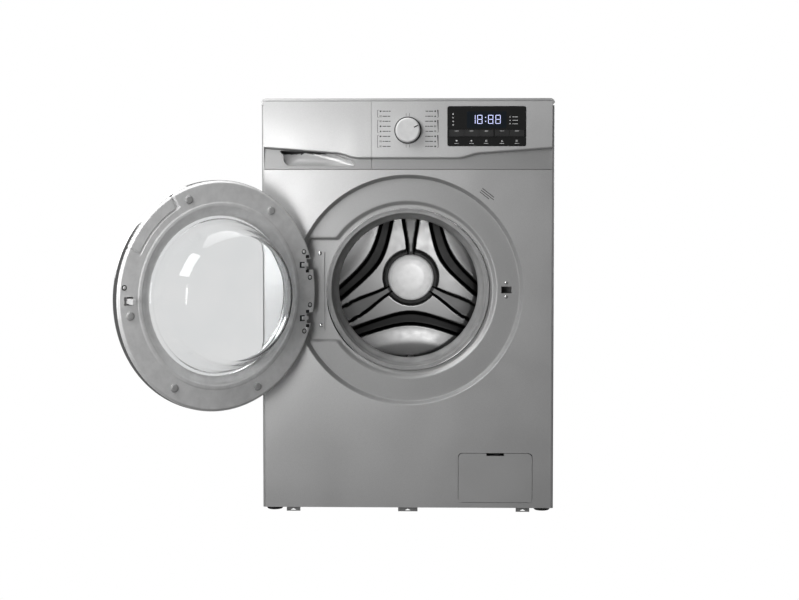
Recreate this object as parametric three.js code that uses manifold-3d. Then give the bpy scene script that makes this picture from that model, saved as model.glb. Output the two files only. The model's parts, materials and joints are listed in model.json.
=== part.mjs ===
// A front load washing machine, with its door standing open.
// Millimetres, +Z up. X runs to the right and Y to the back. While the pieces are made, the front
// panel's face is Y = 0 and the floor is Z = 0; the last lines move the origin under the whole.
import * as THREE from "three";
import { mergeVertices } from "three/addons/utils/BufferGeometryUtils.js";
import Module from "manifold-3d";

const wasm = await Module();
wasm.setup();

// ---- Driving dimensions ----

const WIDTH = 597;
const HEIGHT = 850;
const DEPTH = 560;
const UNDERSIDE = 10; // cabinet above the floor
const SHEET = 1.2; // pressed steel
const GAP = 0.3; // between pieces that touch on the real machine
const EDGE = 4.5; // rounded front edge of a side panel
const FLANGE = 12; // turned edge of the front panel
const REAR_FLANGE = 20;

const WORKTOP_EDGE = 5;
const WORKTOP_CORNER = 9;
const WORKTOP_SKIRT = 14;
const WORKTOP_CORE = 12;

const FASCIA_HEIGHT = 140;
const FASCIA_PROUD = 3; // upper moulding in front of the panel
const FASCIA_WALL = 3.5;
const FASCIA_DEPTH = 28;
const FRAME_DEPTH = 6; // the part of the fascia that frames the drawer
const MOULDING_WALL = 2.5;
const BAND_CENTRE = 23.6; // height of the lower band in the middle
const BAND_SHOULDER = 34;
const BAND_END = 45;
const BAND_FLAT = 100; // half width of the flat middle
const BAND_RISE = 50; // width over which it climbs to the shoulder
const BAND_SCOOP = 6; // how far the band's top lies behind the panel face
const DRAWER_SEAM = -74.5;

const KNOB_HEIGHT = 785;
const KNOB_RADIUS = 25;
const KNOB_SKIRT = 27.5;
const KNOB_DEPTH = 19;
const KNOB_SHAFT = 3;

const DISPLAY_LEFT = 80.6;
const DISPLAY_WIDTH = 159.7;
const DISPLAY_HEIGHT = 81;
const DISPLAY_BOTTOM = 752.7;
const LENS_THICKNESS = 1.9;
const BUTTON_BOTTOM = 772.4;
const BUTTON_HEIGHT = 13.6;
const BUTTON_PITCH = 30;

const DRUM_HEIGHT = 458.5; // of the drum's axis above the floor
const DRUM_RADIUS = 239;
const DRUM_FRONT = 108;
const DRUM_BACK = 412;
const DRUM_MOUTH = 153;
const DRUM_SHEET = 1.5;
const TUB_CLEARANCE = 20; // between drum and tub
const TUB_WALL = 3;
const TUB_FRONT = 99;
const TUB_MOUTH = 80; // front end of the neck, which the gasket bears on
const TUB_SPLIT = 265;
const TUB_BACK = 438;
const TUB_FLANGE = 11;
const TUB_NECK = 176;
const SHAFT_RADIUS = 12.5;
const BEARING_RADIUS = 26;
const HUB_END = 505;

const RECESS_RADIUS = 233;
const RECESS_DEPTH = 12;
const STEP_RADIUS = 181;
const STEP_DEPTH = 17.6;
const MOUTH_RADIUS = 161;
const POCKET_HALF = 105; // hinge pocket above and below the drum's axis
const GASKET_WALL = 3;
const GASKET_LIP = 145;

const DOOR_RADIUS = 225;
const DOOR_FACE = 7; // inner face of the closed door
const DOOR_FRONT = -26; // outer face of the closed door
const DOOR_WALL = 2.5;
const DOOR_RIM = 2; // where trim and inner frame meet
const GLASS_RADIUS = 152;
const GLASS_DEPTH = 83;
const GLASS_WALL = 4;
const DOOR_OPEN = 140; // degrees
const HINGE_X = -210;
const HINGE_Y = -12;
const HINGE_PIN = 3.4;
const HINGE_BARREL = 5.5;
const EAR_LOW = 44; // the bracket's two ears, from the drum's axis
const EAR_HIGH = 62;
const HOOK_X = 202;
const HOOK_THICKNESS = 6;
const HOOK_REACH = 24; // in front of the closed door's inner face
const LOCK_WIDTH = 21;
const LOCK_HEIGHT = 14;

const HATCH_LEFT = 104;
const HATCH_RIGHT = 255;
const HATCH_BOTTOM = 21.6;
const HATCH_TOP = 122.6;
const HATCH_CORNER = 10;
const HATCH_FOOT_CORNER = 2.5; // lower corners of the opening
const HATCH_MARGIN = 0.8; // between the hatch and its opening
const HATCH_SWING = 1.6; // room below the hatch for its turning edge
const HATCH_OVERLAP = 20; // height shared by the two halves of its outline
const PUMP_X = 180;
const PUMP_Z = 72;
const FILTER_RADIUS = 26;

const FOOT_X = 277.5;
const FOOT_INSET = 36; // foot from the front and from the back
const FOOT_RADIUS = 16.5;
const FOOT_STEM = 5;
const FOOT_CLEARANCE = 0.5;

const SPRING_X = 200;
const SPRING_Y = 300;
const SPRING_RADIUS = 13;
const SPRING_WIRE = 2;
const SPRING_TURNS = 9;
const DAMPER_X = 150;
const DAMPER_ROD = 7;
const PULLEY_RADIUS = 140;
const PULLEY_Y = 514;
const MOTOR_Z = 120;
const MOTOR_RADIUS = 55;
const MOTOR_PULLEY = 10.5;
const BELT_WIDTH = 10;
const BELT_THICKNESS = 4;

const INLET_X = 235;
const DRAIN_X = -240;
const DRAIN_Z = 150;
const CORD_X = 250;
const CORD_Z = 690;
const PORT_REACH = 18; // a port's end behind the rear panel
const PORT_HOLE = 15;
const CORD_HOLE = 9;
const SERVICE_RADIUS = 175; // cover over the drum pulley
const PUMP_HOUSING = 38;

const ROUND = 30; // segments of a large circle
const SMALL_ROUND = 10;

// Worked out from the sizes above.
const SIDE_INNER = WIDTH / 2 - SHEET;
const FACE_HALF = WIDTH / 2 - EDGE - GAP; // half width of what lies between the side panels
const FASCIA_TOP = HEIGHT - WORKTOP_EDGE - GAP;
const FASCIA_BOTTOM = HEIGHT - WORKTOP_EDGE - FASCIA_HEIGHT;
const PANEL_TOP = FASCIA_BOTTOM - GAP;
const CORE_BOTTOM = HEIGHT - WORKTOP_EDGE - WORKTOP_CORE;
const TUB_RADIUS = DRUM_RADIUS + TUB_CLEARANCE;
const REAR_INNER = DEPTH - SHEET;
const INLET_Z = CORE_BOTTOM - 46;
const TRAY_TOP = UNDERSIDE + 1.3 + 2;
const HINGE = [HINGE_X, HINGE_Y];
const KNOB_Z = FASCIA_BOTTOM + KNOB_HEIGHT - 705;
const RAISE = FASCIA_BOTTOM - 705; // how far the control pieces follow a taller cabinet

// ---- Shapes ----

const AXIS_X = new THREE.Vector3(1, 0, 0);
const AXIS_Y = new THREE.Vector3(0, 1, 0);
const AXIS_Z = new THREE.Vector3(0, 0, 1);

// A closed solid for joining and cutting, from a geometry's merged vertices.
function solid(geometry) {
  const bare = geometry.clone();
  bare.deleteAttribute("normal");
  bare.deleteAttribute("uv");
  const merged = mergeVertices(bare, 1e-4);
  const corners = merged.index.array;
  const kept = [];
  for (let i = 0; i < corners.length; i += 3) {
    const [a, b, c] = [corners[i], corners[i + 1], corners[i + 2]];
    if (a !== b && b !== c && c !== a) kept.push(a, b, c);
  }
  const vertProperties = new Float32Array(merged.attributes.position.array);
  const triVerts = new Uint32Array(kept);
  return new wasm.Manifold(new wasm.Mesh({ numProp: 3, vertProperties, triVerts }));
}

function geometryOf(body) {
  const mesh = body.getMesh();
  const points = new Float32Array(mesh.numVert * 3);
  for (let i = 0; i < mesh.numVert; i += 1) {
    const start = i * mesh.numProp;
    points.set(mesh.vertProperties.subarray(start, start + 3), i * 3);
  }
  const geometry = new THREE.BufferGeometry();
  geometry.setAttribute("position", new THREE.BufferAttribute(points, 3));
  geometry.setIndex(new THREE.BufferAttribute(new Uint32Array(mesh.triVerts), 1));
  return geometry;
}

const join = (...bodies) => bodies.reduce((whole, body) => whole.add(body));
const cut = (whole, ...tools) => tools.reduce((left, tool) => left.subtract(tool), whole);

function box([x0, x1], [y0, y1], [z0, z1]) {
  const geometry = new THREE.BoxGeometry(x1 - x0, y1 - y0, z1 - z0);
  return solid(geometry.translate((x0 + x1) / 2, (y0 + y1) / 2, (z0 + z1) / 2));
}

// A shape drawn in the plane across an axis and extruded along it. Across X it is drawn in Y and Z,
// across Y in X and Z, and across Z in X and Y.
function prism(shape, axis, from, to, arcSteps = 4) {
  const settings = { depth: to - from, bevelEnabled: false, curveSegments: arcSteps };
  const geometry = new THREE.ExtrudeGeometry(shape, settings);
  if (axis === "x") {
    geometry.applyMatrix4(new THREE.Matrix4().makeBasis(AXIS_Y, AXIS_Z, AXIS_X));
    geometry.translate(from, 0, 0);
  } else if (axis === "y") {
    geometry.rotateX(Math.PI / 2).translate(0, to, 0);
  } else {
    geometry.translate(0, 0, from);
  }
  return solid(geometry);
}

function rounded([x0, x1], [y0, y1], radius) {
  const shape = new THREE.Shape();
  shape.absarc(x1 - radius, y1 - radius, radius, 0, Math.PI / 2);
  shape.absarc(x0 + radius, y1 - radius, radius, Math.PI / 2, Math.PI);
  shape.absarc(x0 + radius, y0 + radius, radius, Math.PI, Math.PI * 1.5);
  shape.absarc(x1 - radius, y0 + radius, radius, Math.PI * 1.5, Math.PI * 2);
  return shape;
}

const polygon = (points) => new THREE.Shape(points.map(([x, y]) => new THREE.Vector2(x, y)));

// The outline of a sheet bent along a line of points, with its thickness to the left of the line,
// or to the right where the thickness is negative.
function bent(points, thickness) {
  const line = points.map(([x, y]) => new THREE.Vector2(x, y));
  const other = line.map((point, i) => {
    const before = i > 0 ? point.clone().sub(line[i - 1]).normalize() : null;
    const after = i < line.length - 1 ? line[i + 1].clone().sub(point).normalize() : null;
    const a = before ?? after;
    const b = after ?? before;
    const normal = new THREE.Vector2(-a.y - b.y, a.x + b.x).normalize();
    const share = normal.x * -b.y + normal.y * b.x;
    return point.clone().addScaledVector(normal, thickness / share);
  });
  return [...line, ...other.reverse()].map(({ x, y }) => [x, y]);
}

// A profile of radius and position turned about an axis that runs through a centre point.
function turned(profile, axis = "y", centre = [0, 0, 0], segments = ROUND) {
  const points = profile.map(([radius, along]) => new THREE.Vector2(Math.max(radius, 0), along));
  if (THREE.ShapeUtils.area(points) < 0) points.reverse();
  const start = points.findIndex(({ x }, i) => x < 1e-6 && points.at(i - 1).x < 1e-6);
  if (start >= 0) {
    points.push(...points.splice(0, start));
    points[0].x = 0;
    points.at(-1).x = 0;
  } else {
    points.push(points[0].clone());
  }
  const geometry = new THREE.LatheGeometry(points, segments);
  if (axis === "z") geometry.rotateX(Math.PI / 2);
  if (axis === "x") geometry.rotateZ(-Math.PI / 2);
  return solid(geometry.translate(...centre));
}

const disc = (radius, from, to, axis, centre, segments = SMALL_ROUND) =>
  turned([[0, from], [radius, from], [radius, to], [0, to]], axis, centre, segments);

const tube = (outer, inner, from, to, axis, centre, segments = SMALL_ROUND) =>
  turned([[inner, from], [outer, from], [outer, to], [inner, to]], axis, centre, segments);

const DRUM_AXIS = [0, 0, DRUM_HEIGHT];
const around = (profile, segments = ROUND) => turned(profile, "y", DRUM_AXIS, segments);
const aroundDisc = (radius, from, to) => disc(radius, from, to, "y", DRUM_AXIS, ROUND);

function swept(curve, outer, inner, steps, arcSteps) {
  const shape = new THREE.Shape().absarc(0, 0, outer, 0, Math.PI * 2);
  if (inner > 0) shape.holes.push(new THREE.Path().absarc(0, 0, inner, 0, Math.PI * 2));
  const settings = { extrudePath: curve, steps, bevelEnabled: false, curveSegments: arcSteps };
  return solid(new THREE.ExtrudeGeometry(shape, settings));
}

// ---- Materials ----

const finish = (color, roughness, metalness, more = {}) =>
  new THREE.MeshStandardMaterial({ color, roughness, metalness, ...more });

const silver = finish(0xb9bbbd, 0.42, 0.35);
const silverPlastic = finish(0xb2b4b7, 0.45, 0.2);
const bright = finish(0xd8dadc, 0.18, 0.9);
const greyPlastic = finish(0x8b8c8f, 0.5, 0);
const palePlastic = finish(0xd2d4d6, 0.4, 0);
const blackGloss = finish(0x222325, 0.12, 0);
const galvanised = finish(0x9a9d9f, 0.45, 0.8);
const stainless = finish(0xc4c6c8, 0.25, 1);
const rubber = finish(0x6d6e70, 0.8, 0);
const blackRubber = finish(0x1e1e1f, 0.8, 0);
const concrete = finish(0x8f8d88, 0.9, 0);
const steel = finish(0x8a8c8e, 0.35, 0.9);
const board = finish(0x2c5a3c, 0.6, 0);
const glass = finish(0xdfe6ea, 0.05, 0, { transparent: true, opacity: 0.35 });

// ---- Assembly ----

const machine = new THREE.Group();

function place(group, name, body, material) {
  const mesh = new THREE.Mesh(geometryOf(body), material);
  mesh.name = name;
  group.add(mesh);
  return mesh;
}

// ---- Cabinet ----

// A side panel: one sheet with a rounded front edge, flanges at front and rear, and the hanger
// for a suspension spring.
function sidePanel(side) {
  const half = WIDTH / 2;
  const edge = [0.25, 0.5, 0.75].map((share) => {
    const angle = (share * Math.PI) / 2;
    return [half - EDGE + EDGE * Math.sin(angle), EDGE - EDGE * Math.cos(angle)];
  });
  const line = [
    [half - EDGE - REAR_FLANGE, FLANGE + 2],
    [half - EDGE, FLANGE + 2],
    [half - EDGE, 0],
    ...edge,
    [half, EDGE],
    [half, REAR_INNER - GAP],
    [half - REAR_FLANGE, REAR_INNER - GAP],
  ];
  const outline = bent(line, SHEET).map(([x, y]) => [side * x, y]);
  const sheet = prism(polygon(outline), "z", UNDERSIDE, HEIGHT - WORKTOP_SKIRT - GAP);
  const reach = [SPRING_X - SPRING_RADIUS - 5, half - SHEET / 2].map((x) => side * x);
  const along = [SPRING_Y - SPRING_RADIUS - 5, SPRING_Y + SPRING_RADIUS + 5];
  const shelf = box(reach.sort((a, b) => a - b), along, [hangerZ(), hangerZ() + 3]);
  const web = polygon([
    [side * (half - SHEET / 2), hangerZ() + 1],
    [side * SPRING_X, hangerZ() + 1],
    [side * (half - SHEET / 2), hangerZ() - 40],
  ]);
  const flange = [half - EDGE - REAR_FLANGE - 1, half - EDGE - GAP / 2].map((x) => side * x);
  const clearOfFascia = box(flange.sort((a, b) => a - b), [FLANGE, FASCIA_DEPTH], [PANEL_TOP, HEIGHT]);
  return join(cut(sheet, clearOfFascia), shelf, prism(web, "y", along[1] - 2, along[1]));
}

const hangerZ = () => CORE_BOTTOM - 45;

// The front panel: a tray of sheet with the stepped round recess for the door, a deeper pocket for
// the hinge, the slot for the door's hook and the opening for the filter hatch.
function frontPanel() {
  const heights = [UNDERSIDE, PANEL_TOP];
  const face = box([-FACE_HALF, FACE_HALF], [0, SHEET], heights);
  const inside = [-FACE_HALF + SHEET, FACE_HALF - SHEET];
  const rim = cut(
    box([-FACE_HALF, FACE_HALF], [0, FLANGE], heights),
    box(inside, [-1, FLANGE + 1], [UNDERSIDE + SHEET, PANEL_TOP - SHEET]),
  );
  const wall = RECESS_RADIUS - 4;
  const dish = around(bent([
    [RECESS_RADIUS, 0],
    [wall, RECESS_DEPTH],
    [STEP_RADIUS, RECESS_DEPTH],
    [STEP_RADIUS - 3, STEP_DEPTH],
    [MOUTH_RADIUS, STEP_DEPTH],
    [MOUTH_RADIUS, STEP_DEPTH + 10],
  ], -SHEET));
  const pocket = (margin, front, back) => {
    const sides = [-RECESS_RADIUS - 5, -STEP_RADIUS + 20 - 4 * margin];
    const half = POCKET_HALF + margin;
    const block = box(sides, [front, back], [DRUM_HEIGHT - half, DRUM_HEIGHT + half]);
    return block.intersect(aroundDisc(wall - 1.5 + margin, front, back));
  };
  const opened = cut(face, aroundDisc(RECESS_RADIUS, -5, 5), hatchOpening());
  const floor = join(opened, rim, dish, pocket(SHEET, RECESS_DEPTH, STEP_DEPTH + SHEET));
  return cut(floor, pocket(0, RECESS_DEPTH - 9, STEP_DEPTH), hookSlot(0, 5, STEP_DEPTH));
}

// The slot for the door's hook, grown by a margin.
function hookSlot(margin, from, to) {
  const half = [LOCK_WIDTH / 2 + margin, LOCK_HEIGHT / 2 + margin];
  const heights = [DRUM_HEIGHT - half[1], DRUM_HEIGHT + half[1]];
  return box([HOOK_X - half[0], HOOK_X + half[0]], [from, to], heights);
}

// A block of the hatch's outline. Its lower corners are nearly square, so that the hatch clears the
// opening as it swings down.
function hatchBlock(across, [low, high], corners, from, to) {
  const [upper, lower] = corners;
  return join(
    prism(rounded(across, [low + HATCH_OVERLAP, high], upper), "y", from, to, 2),
    prism(rounded(across, [low, high - HATCH_OVERLAP], lower), "y", from, to, 2),
  );
}

function hatchOpening() {
  const across = [HATCH_LEFT - HATCH_MARGIN, HATCH_RIGHT + HATCH_MARGIN];
  const up = [HATCH_BOTTOM - HATCH_SWING, HATCH_TOP + HATCH_MARGIN];
  return hatchBlock(across, up, [HATCH_CORNER, HATCH_FOOT_CORNER], -5, 5);
}

function worktop() {
  const half = WIDTH / 2;
  const low = HEIGHT - WORKTOP_SKIRT;
  const shape = new THREE.Shape();
  shape.moveTo(half, low);
  shape.absarc(half - WORKTOP_CORNER, HEIGHT - WORKTOP_CORNER, WORKTOP_CORNER, 0, Math.PI / 2);
  shape.absarc(-half + WORKTOP_CORNER, HEIGHT - WORKTOP_CORNER, WORKTOP_CORNER, Math.PI / 2, Math.PI);
  shape.lineTo(-half, low);
  shape.lineTo(-half + EDGE, low);
  shape.lineTo(-half + EDGE, HEIGHT - WORKTOP_EDGE);
  shape.lineTo(half - EDGE, HEIGHT - WORKTOP_EDGE);
  shape.lineTo(half - EDGE, low);
  const plate = prism(shape, "y", -FASCIA_PROUD, DEPTH, 3);
  const inset = half - EDGE - 2;
  const core = box([-inset, inset], [FASCIA_DEPTH + 4, REAR_INNER - 4], [CORE_BOTTOM, HEIGHT - 2]);
  return join(plate, core);
}

const alongY = (radius, from, to, x, z, segments) => disc(radius, from, to, "y", [x, 0, z], segments);
const alongZ = (radius, from, to, x, y, segments) => disc(radius, from, to, "z", [x, y, 0], segments);

function rearPanel() {
  const half = WIDTH / 2 - 2;
  const plate = box([-half, half], [REAR_INNER, DEPTH], [UNDERSIDE + 14, CORE_BOTTOM - 1]);
  return cut(
    plate,
    aroundDisc(SERVICE_RADIUS - 12, REAR_INNER - 5, DEPTH + 5),
    alongY(PORT_HOLE, REAR_INNER - 5, DEPTH + 5, INLET_X, INLET_Z),
    alongY(PORT_HOLE, REAR_INNER - 5, DEPTH + 5, DRAIN_X, DRAIN_Z),
    alongY(CORD_HOLE, REAR_INNER - 5, DEPTH + 5, CORD_X, CORD_Z + RAISE),
  );
}

// A pressed cover over the drum pulley's opening.
const serviceCover = () => around(bent([
  [SERVICE_RADIUS, DEPTH + GAP],
  [SERVICE_RADIUS - 18, DEPTH + GAP],
  [SERVICE_RADIUS - 26, DEPTH + GAP + 8],
  [0, DEPTH + GAP + 8],
], -SHEET));

function baseTray() {
  const low = UNDERSIDE + 1.3;
  const half = SIDE_INNER - 0.6;
  const across = [-half, half];
  const along = [FLANGE + 5, REAR_INNER - 4];
  const tray = cut(
    box(across, along, [low, low + 34]),
    box([-half + 2, half - 2], [along[0] + 2, along[1] - 2], [TRAY_TOP, low + 40]),
  );
  let body = tray;
  for (const [x, y] of footPlaces()) {
    body = body.add(alongZ(FOOT_STEM + 6, TRAY_TOP - 1, TRAY_TOP + 14, x, y));
    body = body.subtract(alongZ(FOOT_STEM + FOOT_CLEARANCE, low - 1, TRAY_TOP + 20, x, y));
  }
  for (const side of [-1, 1]) {
    body = body.add(alongZ(DAMPER_ROD + 5, TRAY_TOP - 1, TRAY_TOP + 8, side * DAMPER_X, SPRING_Y));
  }
  for (const [x0, x1] of [[-250, -222], [-20, 20], [222, 250]]) body = body.add(fixingTab(x0, x1));
  return body.add(box([PUMP_X - 25, PUMP_X + 25], [90, 150], [TRAY_TOP - 1, PUMP_Z - PUMP_HOUSING - 1]));
}

// A fixing tab under the front edge, with a triangular hole.
function fixingTab(x0, x1) {
  const middle = (x0 + x1) / 2;
  const hole = polygon([[middle - 7, 3.2], [middle + 7, 3.2], [middle, 7]]);
  const blade = box([x0, x1], [2, 4.5], [1.6, UNDERSIDE - 0.4]);
  const arm = box([x0, x1], [2, FLANGE + 8], [UNDERSIDE - 2, UNDERSIDE - 0.4]);
  const root = box([x0, x1], [FLANGE + 5, FLANGE + 8], [UNDERSIDE - 2, UNDERSIDE + 2]);
  return join(cut(blade, prism(hole, "y", 0, 10)), arm, root);
}

function footPlaces() {
  const along = [FOOT_INSET, DEPTH - FOOT_INSET];
  const half = FOOT_X + WIDTH / 2 - 298.5;
  return [[-half, along[0]], [half, along[0]], [-half, along[1]], [half, along[1]]];
}

const foot = ([x, y]) => turned([
  [0, 0],
  [FOOT_RADIUS, 0],
  [FOOT_RADIUS, 4],
  [FOOT_RADIUS - 5, 7.5],
  [FOOT_STEM + 4, 7.5],
  [FOOT_STEM + 4, UNDERSIDE + 0.6],
  [FOOT_STEM, UNDERSIDE + 0.6],
  [FOOT_STEM, UNDERSIDE + 45],
  [0, UNDERSIDE + 45],
], "z", [x, y, 0], 20);

// ---- Control fascia and detergent drawer ----

// Height of the upper moulding's lower edge above the fascia's foot, across the machine.
function bandHeight(x) {
  const away = Math.abs(x);
  if (away <= BAND_FLAT) return BAND_CENTRE;
  const climb = Math.min((away - BAND_FLAT) / BAND_RISE, 1);
  const smooth = climb * climb * (3 - 2 * climb);
  const outward = Math.max(away - BAND_FLAT - BAND_RISE, 0) / (WIDTH / 2 - BAND_FLAT - BAND_RISE);
  return BAND_CENTRE + (BAND_SHOULDER - BAND_CENTRE) * smooth + (BAND_END - BAND_SHOULDER) * outward;
}

function bandEdge(x0, x1, raise = 0) {
  const stops = [-WIDTH / 2, -225, -150, -137, -125, -112, -100, 100, 112, 125, 137, 150, 225, WIDTH / 2];
  const inside = stops.filter((x) => x > x0 && x < x1);
  return [x0, ...inside, x1].map((x) => [x, FASCIA_BOTTOM + bandHeight(x) + raise]);
}

// The moulded front between two sides: a proud upper face over a scooped lower band, with walls
// that run back to the given depth. It is open behind.
function mouldedFront(x0, x1, depth) {
  const edge = bandEdge(x0, x1);
  const upper = prism(polygon([...edge, [x1, FASCIA_TOP], [x0, FASCIA_TOP]]), "y",
    -FASCIA_PROUD, FASCIA_WALL - FASCIA_PROUD);
  const ledgeOutline = [...edge, ...bandEdge(x0, x1, MOULDING_WALL).reverse()];
  const ledge = prism(polygon(ledgeOutline), "y", -FASCIA_PROUD, BAND_SCOOP + 3);
  const bandOutline = [[x0, FASCIA_BOTTOM], [x1, FASCIA_BOTTOM], ...[...edge].reverse()];
  const slope = (z) => ((z - FASCIA_BOTTOM) * BAND_SCOOP) / BAND_END;
  const low = FASCIA_BOTTOM - 5;
  const high = FASCIA_BOTTOM + BAND_END + 5;
  const slab = polygon([
    [slope(low), low],
    [slope(high), high],
    [slope(high) + MOULDING_WALL, high],
    [slope(low) + MOULDING_WALL, low],
  ]);
  const band = prism(polygon(bandOutline), "y", -5, 20).intersect(prism(slab, "x", x0, x1));
  const walls = cut(
    box([x0, x1], [0.2, depth], [FASCIA_BOTTOM, FASCIA_TOP]),
    box([x0 + MOULDING_WALL, x1 - MOULDING_WALL], [-1, depth + 1],
      [FASCIA_BOTTOM + MOULDING_WALL, FASCIA_TOP - MOULDING_WALL]),
  );
  return join(upper, ledge, band, walls);
}

const OPENING = { left: -FACE_HALF + 6, right: DRAWER_SEAM - 9, low: 746.5 + RAISE, high: 826 + RAISE };
const frameFront = FASCIA_DEPTH - FRAME_DEPTH;
const displayRight = DISPLAY_LEFT + DISPLAY_WIDTH;
const displayBottom = DISPLAY_BOTTOM + RAISE;
const LENS_SEAT = 1.8; // depth of the lens's seat in the fascia
const buttonLow = BUTTON_BOTTOM + RAISE;

const buttonPlaces = [0, 1, 2, 3, 4].map((i) => {
  const left = DISPLAY_LEFT + 4 + i * BUTTON_PITCH + (i > 2 ? 2 : 0);
  return [left, left + BUTTON_PITCH - 0.5];
});

function buttonWindow(from, to) {
  const low = buttonLow - 0.4;
  const high = buttonLow + BUTTON_HEIGHT + 0.4;
  const [first, , third, fourth, last] = buttonPlaces;
  return join(
    box([first[0] - 0.4, third[1] + 0.4], [from, to], [low, high]),
    box([fourth[0] - 0.4, last[1] + 0.4], [from, to], [low, high]),
  );
}

function controlFascia() {
  const front = mouldedFront(DRAWER_SEAM + GAP, FACE_HALF, FASCIA_DEPTH);
  const frame = cut(
    box([-FACE_HALF, DRAWER_SEAM + 4], [frameFront, FASCIA_DEPTH], [FASCIA_BOTTOM, FASCIA_TOP]),
    box([OPENING.left, OPENING.right], [0, 40], [OPENING.low, OPENING.high]),
  );
  const seat = rounded([DISPLAY_LEFT - GAP, displayRight + GAP],
    [displayBottom - GAP, displayBottom + DISPLAY_HEIGHT + GAP], 4);
  return cut(
    join(front, frame),
    prism(seat, "y", -9, LENS_SEAT - FASCIA_PROUD, 1),
    buttonWindow(-9, 5),
    alongY(KNOB_SHAFT + 0.6, -9, 9, 0, KNOB_Z),
    box([120, 200], [-2, 2], [789 + RAISE, 823 + RAISE]),
  );
}

function displayLens() {
  const across = [DISPLAY_LEFT, displayRight];
  const shape = rounded(across, [displayBottom, displayBottom + DISPLAY_HEIGHT], 4);
  const back = LENS_SEAT - FASCIA_PROUD - GAP;
  return cut(prism(shape, "y", back - LENS_THICKNESS, back, 2), buttonWindow(-9, 9));
}

function button([x0, x1]) {
  const heights = [buttonLow, buttonLow + BUTTON_HEIGHT];
  const cap = box([x0, x1], [-5, 3.5], heights);
  const shoulder = box([x0 + 2, x1 - 2], [1.2, 3.5], [heights[0] - 2, heights[1] + 2]);
  return join(cap, shoulder);
}

function programKnob() {
  const body = turned([
    [0, -FASCIA_PROUD - KNOB_DEPTH],
    [KNOB_RADIUS - 3, -FASCIA_PROUD - KNOB_DEPTH],
    [KNOB_RADIUS - 0.8, -FASCIA_PROUD - KNOB_DEPTH + 1],
    [KNOB_RADIUS, -FASCIA_PROUD - KNOB_DEPTH + 3],
    [KNOB_RADIUS, -FASCIA_PROUD - 5],
    [KNOB_SKIRT, -FASCIA_PROUD - 4],
    [KNOB_SKIRT, -FASCIA_PROUD - GAP],
    [KNOB_SHAFT, -FASCIA_PROUD - GAP],
    [KNOB_SHAFT, 12],
    [0, 12],
  ], "y", [0, 0, 0], 24);
  const front = -FASCIA_PROUD - KNOB_DEPTH;
  const pointer = box([-1, 1], [front - 1, front + 1], [KNOB_RADIUS * 0.55, KNOB_RADIUS + 1]);
  return cut(body, pointer);
}

function controlBoard() {
  const z = (height) => height + RAISE;
  const plate = box([-50, 275], [13, 14.6], [z(722), z(834)]);
  const module = box([122, 198], [3, 13.5], [z(791), z(821)]);
  const transformer = box([225, 262], [14, 26], [z(730), z(756)]);
  const encoder = box([-11, 11], [14, 22], [z(774), z(796)]);
  const whole = join(plate, module, transformer, encoder);
  return cut(whole, alongY(KNOB_SHAFT + 0.6, 5, 18, 0, KNOB_Z));
}

// The drawer's front has a lens-shaped finger grip in its lower band.
function drawerFront() {
  const left = -FACE_HALF;
  const right = DRAWER_SEAM - GAP;
  const depth = frameFront - GAP;
  const z = (height) => height + RAISE;
  const front = mouldedFront(left, right, depth);
  const cup = box([left + 20, right - 20], [2, depth - 1], [z(706), z(751)]);
  const grip = new THREE.Shape();
  grip.moveTo(-262, z(742));
  grip.quadraticCurveTo(-180, z(748), -106, z(730));
  grip.quadraticCurveTo(-140, z(709), -180, z(709));
  grip.quadraticCurveTo(-240, z(709), -262, z(742));
  const solidCup = join(front, cup.intersect(prism(polygon([
    [left, z(705)], [right, z(705)], ...bandEdge(left, right, 1).reverse(),
  ]), "y", 0, 40)));
  return cut(solidCup, prism(grip, "y", 1, depth - 3, 6).subtract(prism(polygon([
    ...bandEdge(left, right), [right, z(760)], [left, z(760)],
  ]), "y", -1, BAND_SCOOP + 3.5)));
}

const TRAY_DEPTH = 236;
const drawerLow = OPENING.low + 1.2;

function drawerTray() {
  const across = [OPENING.left + 1.2, OPENING.right - 1.2];
  const along = [frameFront + GAP, frameFront + GAP + TRAY_DEPTH];
  const top = OPENING.high - 2;
  const wall = 1.6;
  const shell = cut(
    box(across, along, [drawerLow, top]),
    box([across[0] + wall, across[1] - wall], [along[0] + wall, along[1] - wall], [drawerLow + wall, top + 1]),
  );
  const middle = across[0] + 0.5 * (across[1] - across[0]);
  const third = across[0] + 0.74 * (across[1] - across[0]);
  const inside = [along[0] + 0.5, along[1] - 0.5];
  const heights = [drawerLow + 0.5, top - 8];
  return join(shell, box([middle, middle + wall], inside, heights), box([third, third + wall], inside, heights));
}

function dispenserHousing() {
  const across = [OPENING.left - 2, OPENING.right + 2];
  const along = [FASCIA_DEPTH + GAP, FASCIA_DEPTH + TRAY_DEPTH + 6];
  const heights = [OPENING.low - 3, CORE_BOTTOM - 1];
  const wall = 2.2;
  const spout = [(across[0] + across[1]) / 2, along[1] - 30, 0];
  const shell = cut(
    join(box(across, along, heights), tube(16, 12, heights[0] - 16, heights[0] + 1, "z", spout)),
    box([across[0] + wall, across[1] - wall], [along[0] - 5, along[1] - wall],
      [heights[0] + wall, heights[1] - wall]),
    disc(12, heights[0] - 30, heights[0] + 5, "z", spout),
  );
  return shell;
}

// ---- Water, drain and mains fittings ----

function inletValve() {
  const end = DEPTH + PORT_REACH;
  const block = box([INLET_X - 28, INLET_X + 28], [DEPTH - 46, REAR_INNER - 4], [INLET_Z - 18, INLET_Z + 18]);
  const coils = [-14, 14].map((x) =>
    box([INLET_X + x - 11, INLET_X + x + 11], [DEPTH - 40, DEPTH - 14], [INLET_Z + 17, INLET_Z + 38]));
  const port = alongY(13.2, REAR_INNER - 6, end, INLET_X, INLET_Z, 16);
  return cut(join(block, ...coils, port), alongY(8, DEPTH - 30, end + 5, INLET_X, INLET_Z, 16));
}

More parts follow.
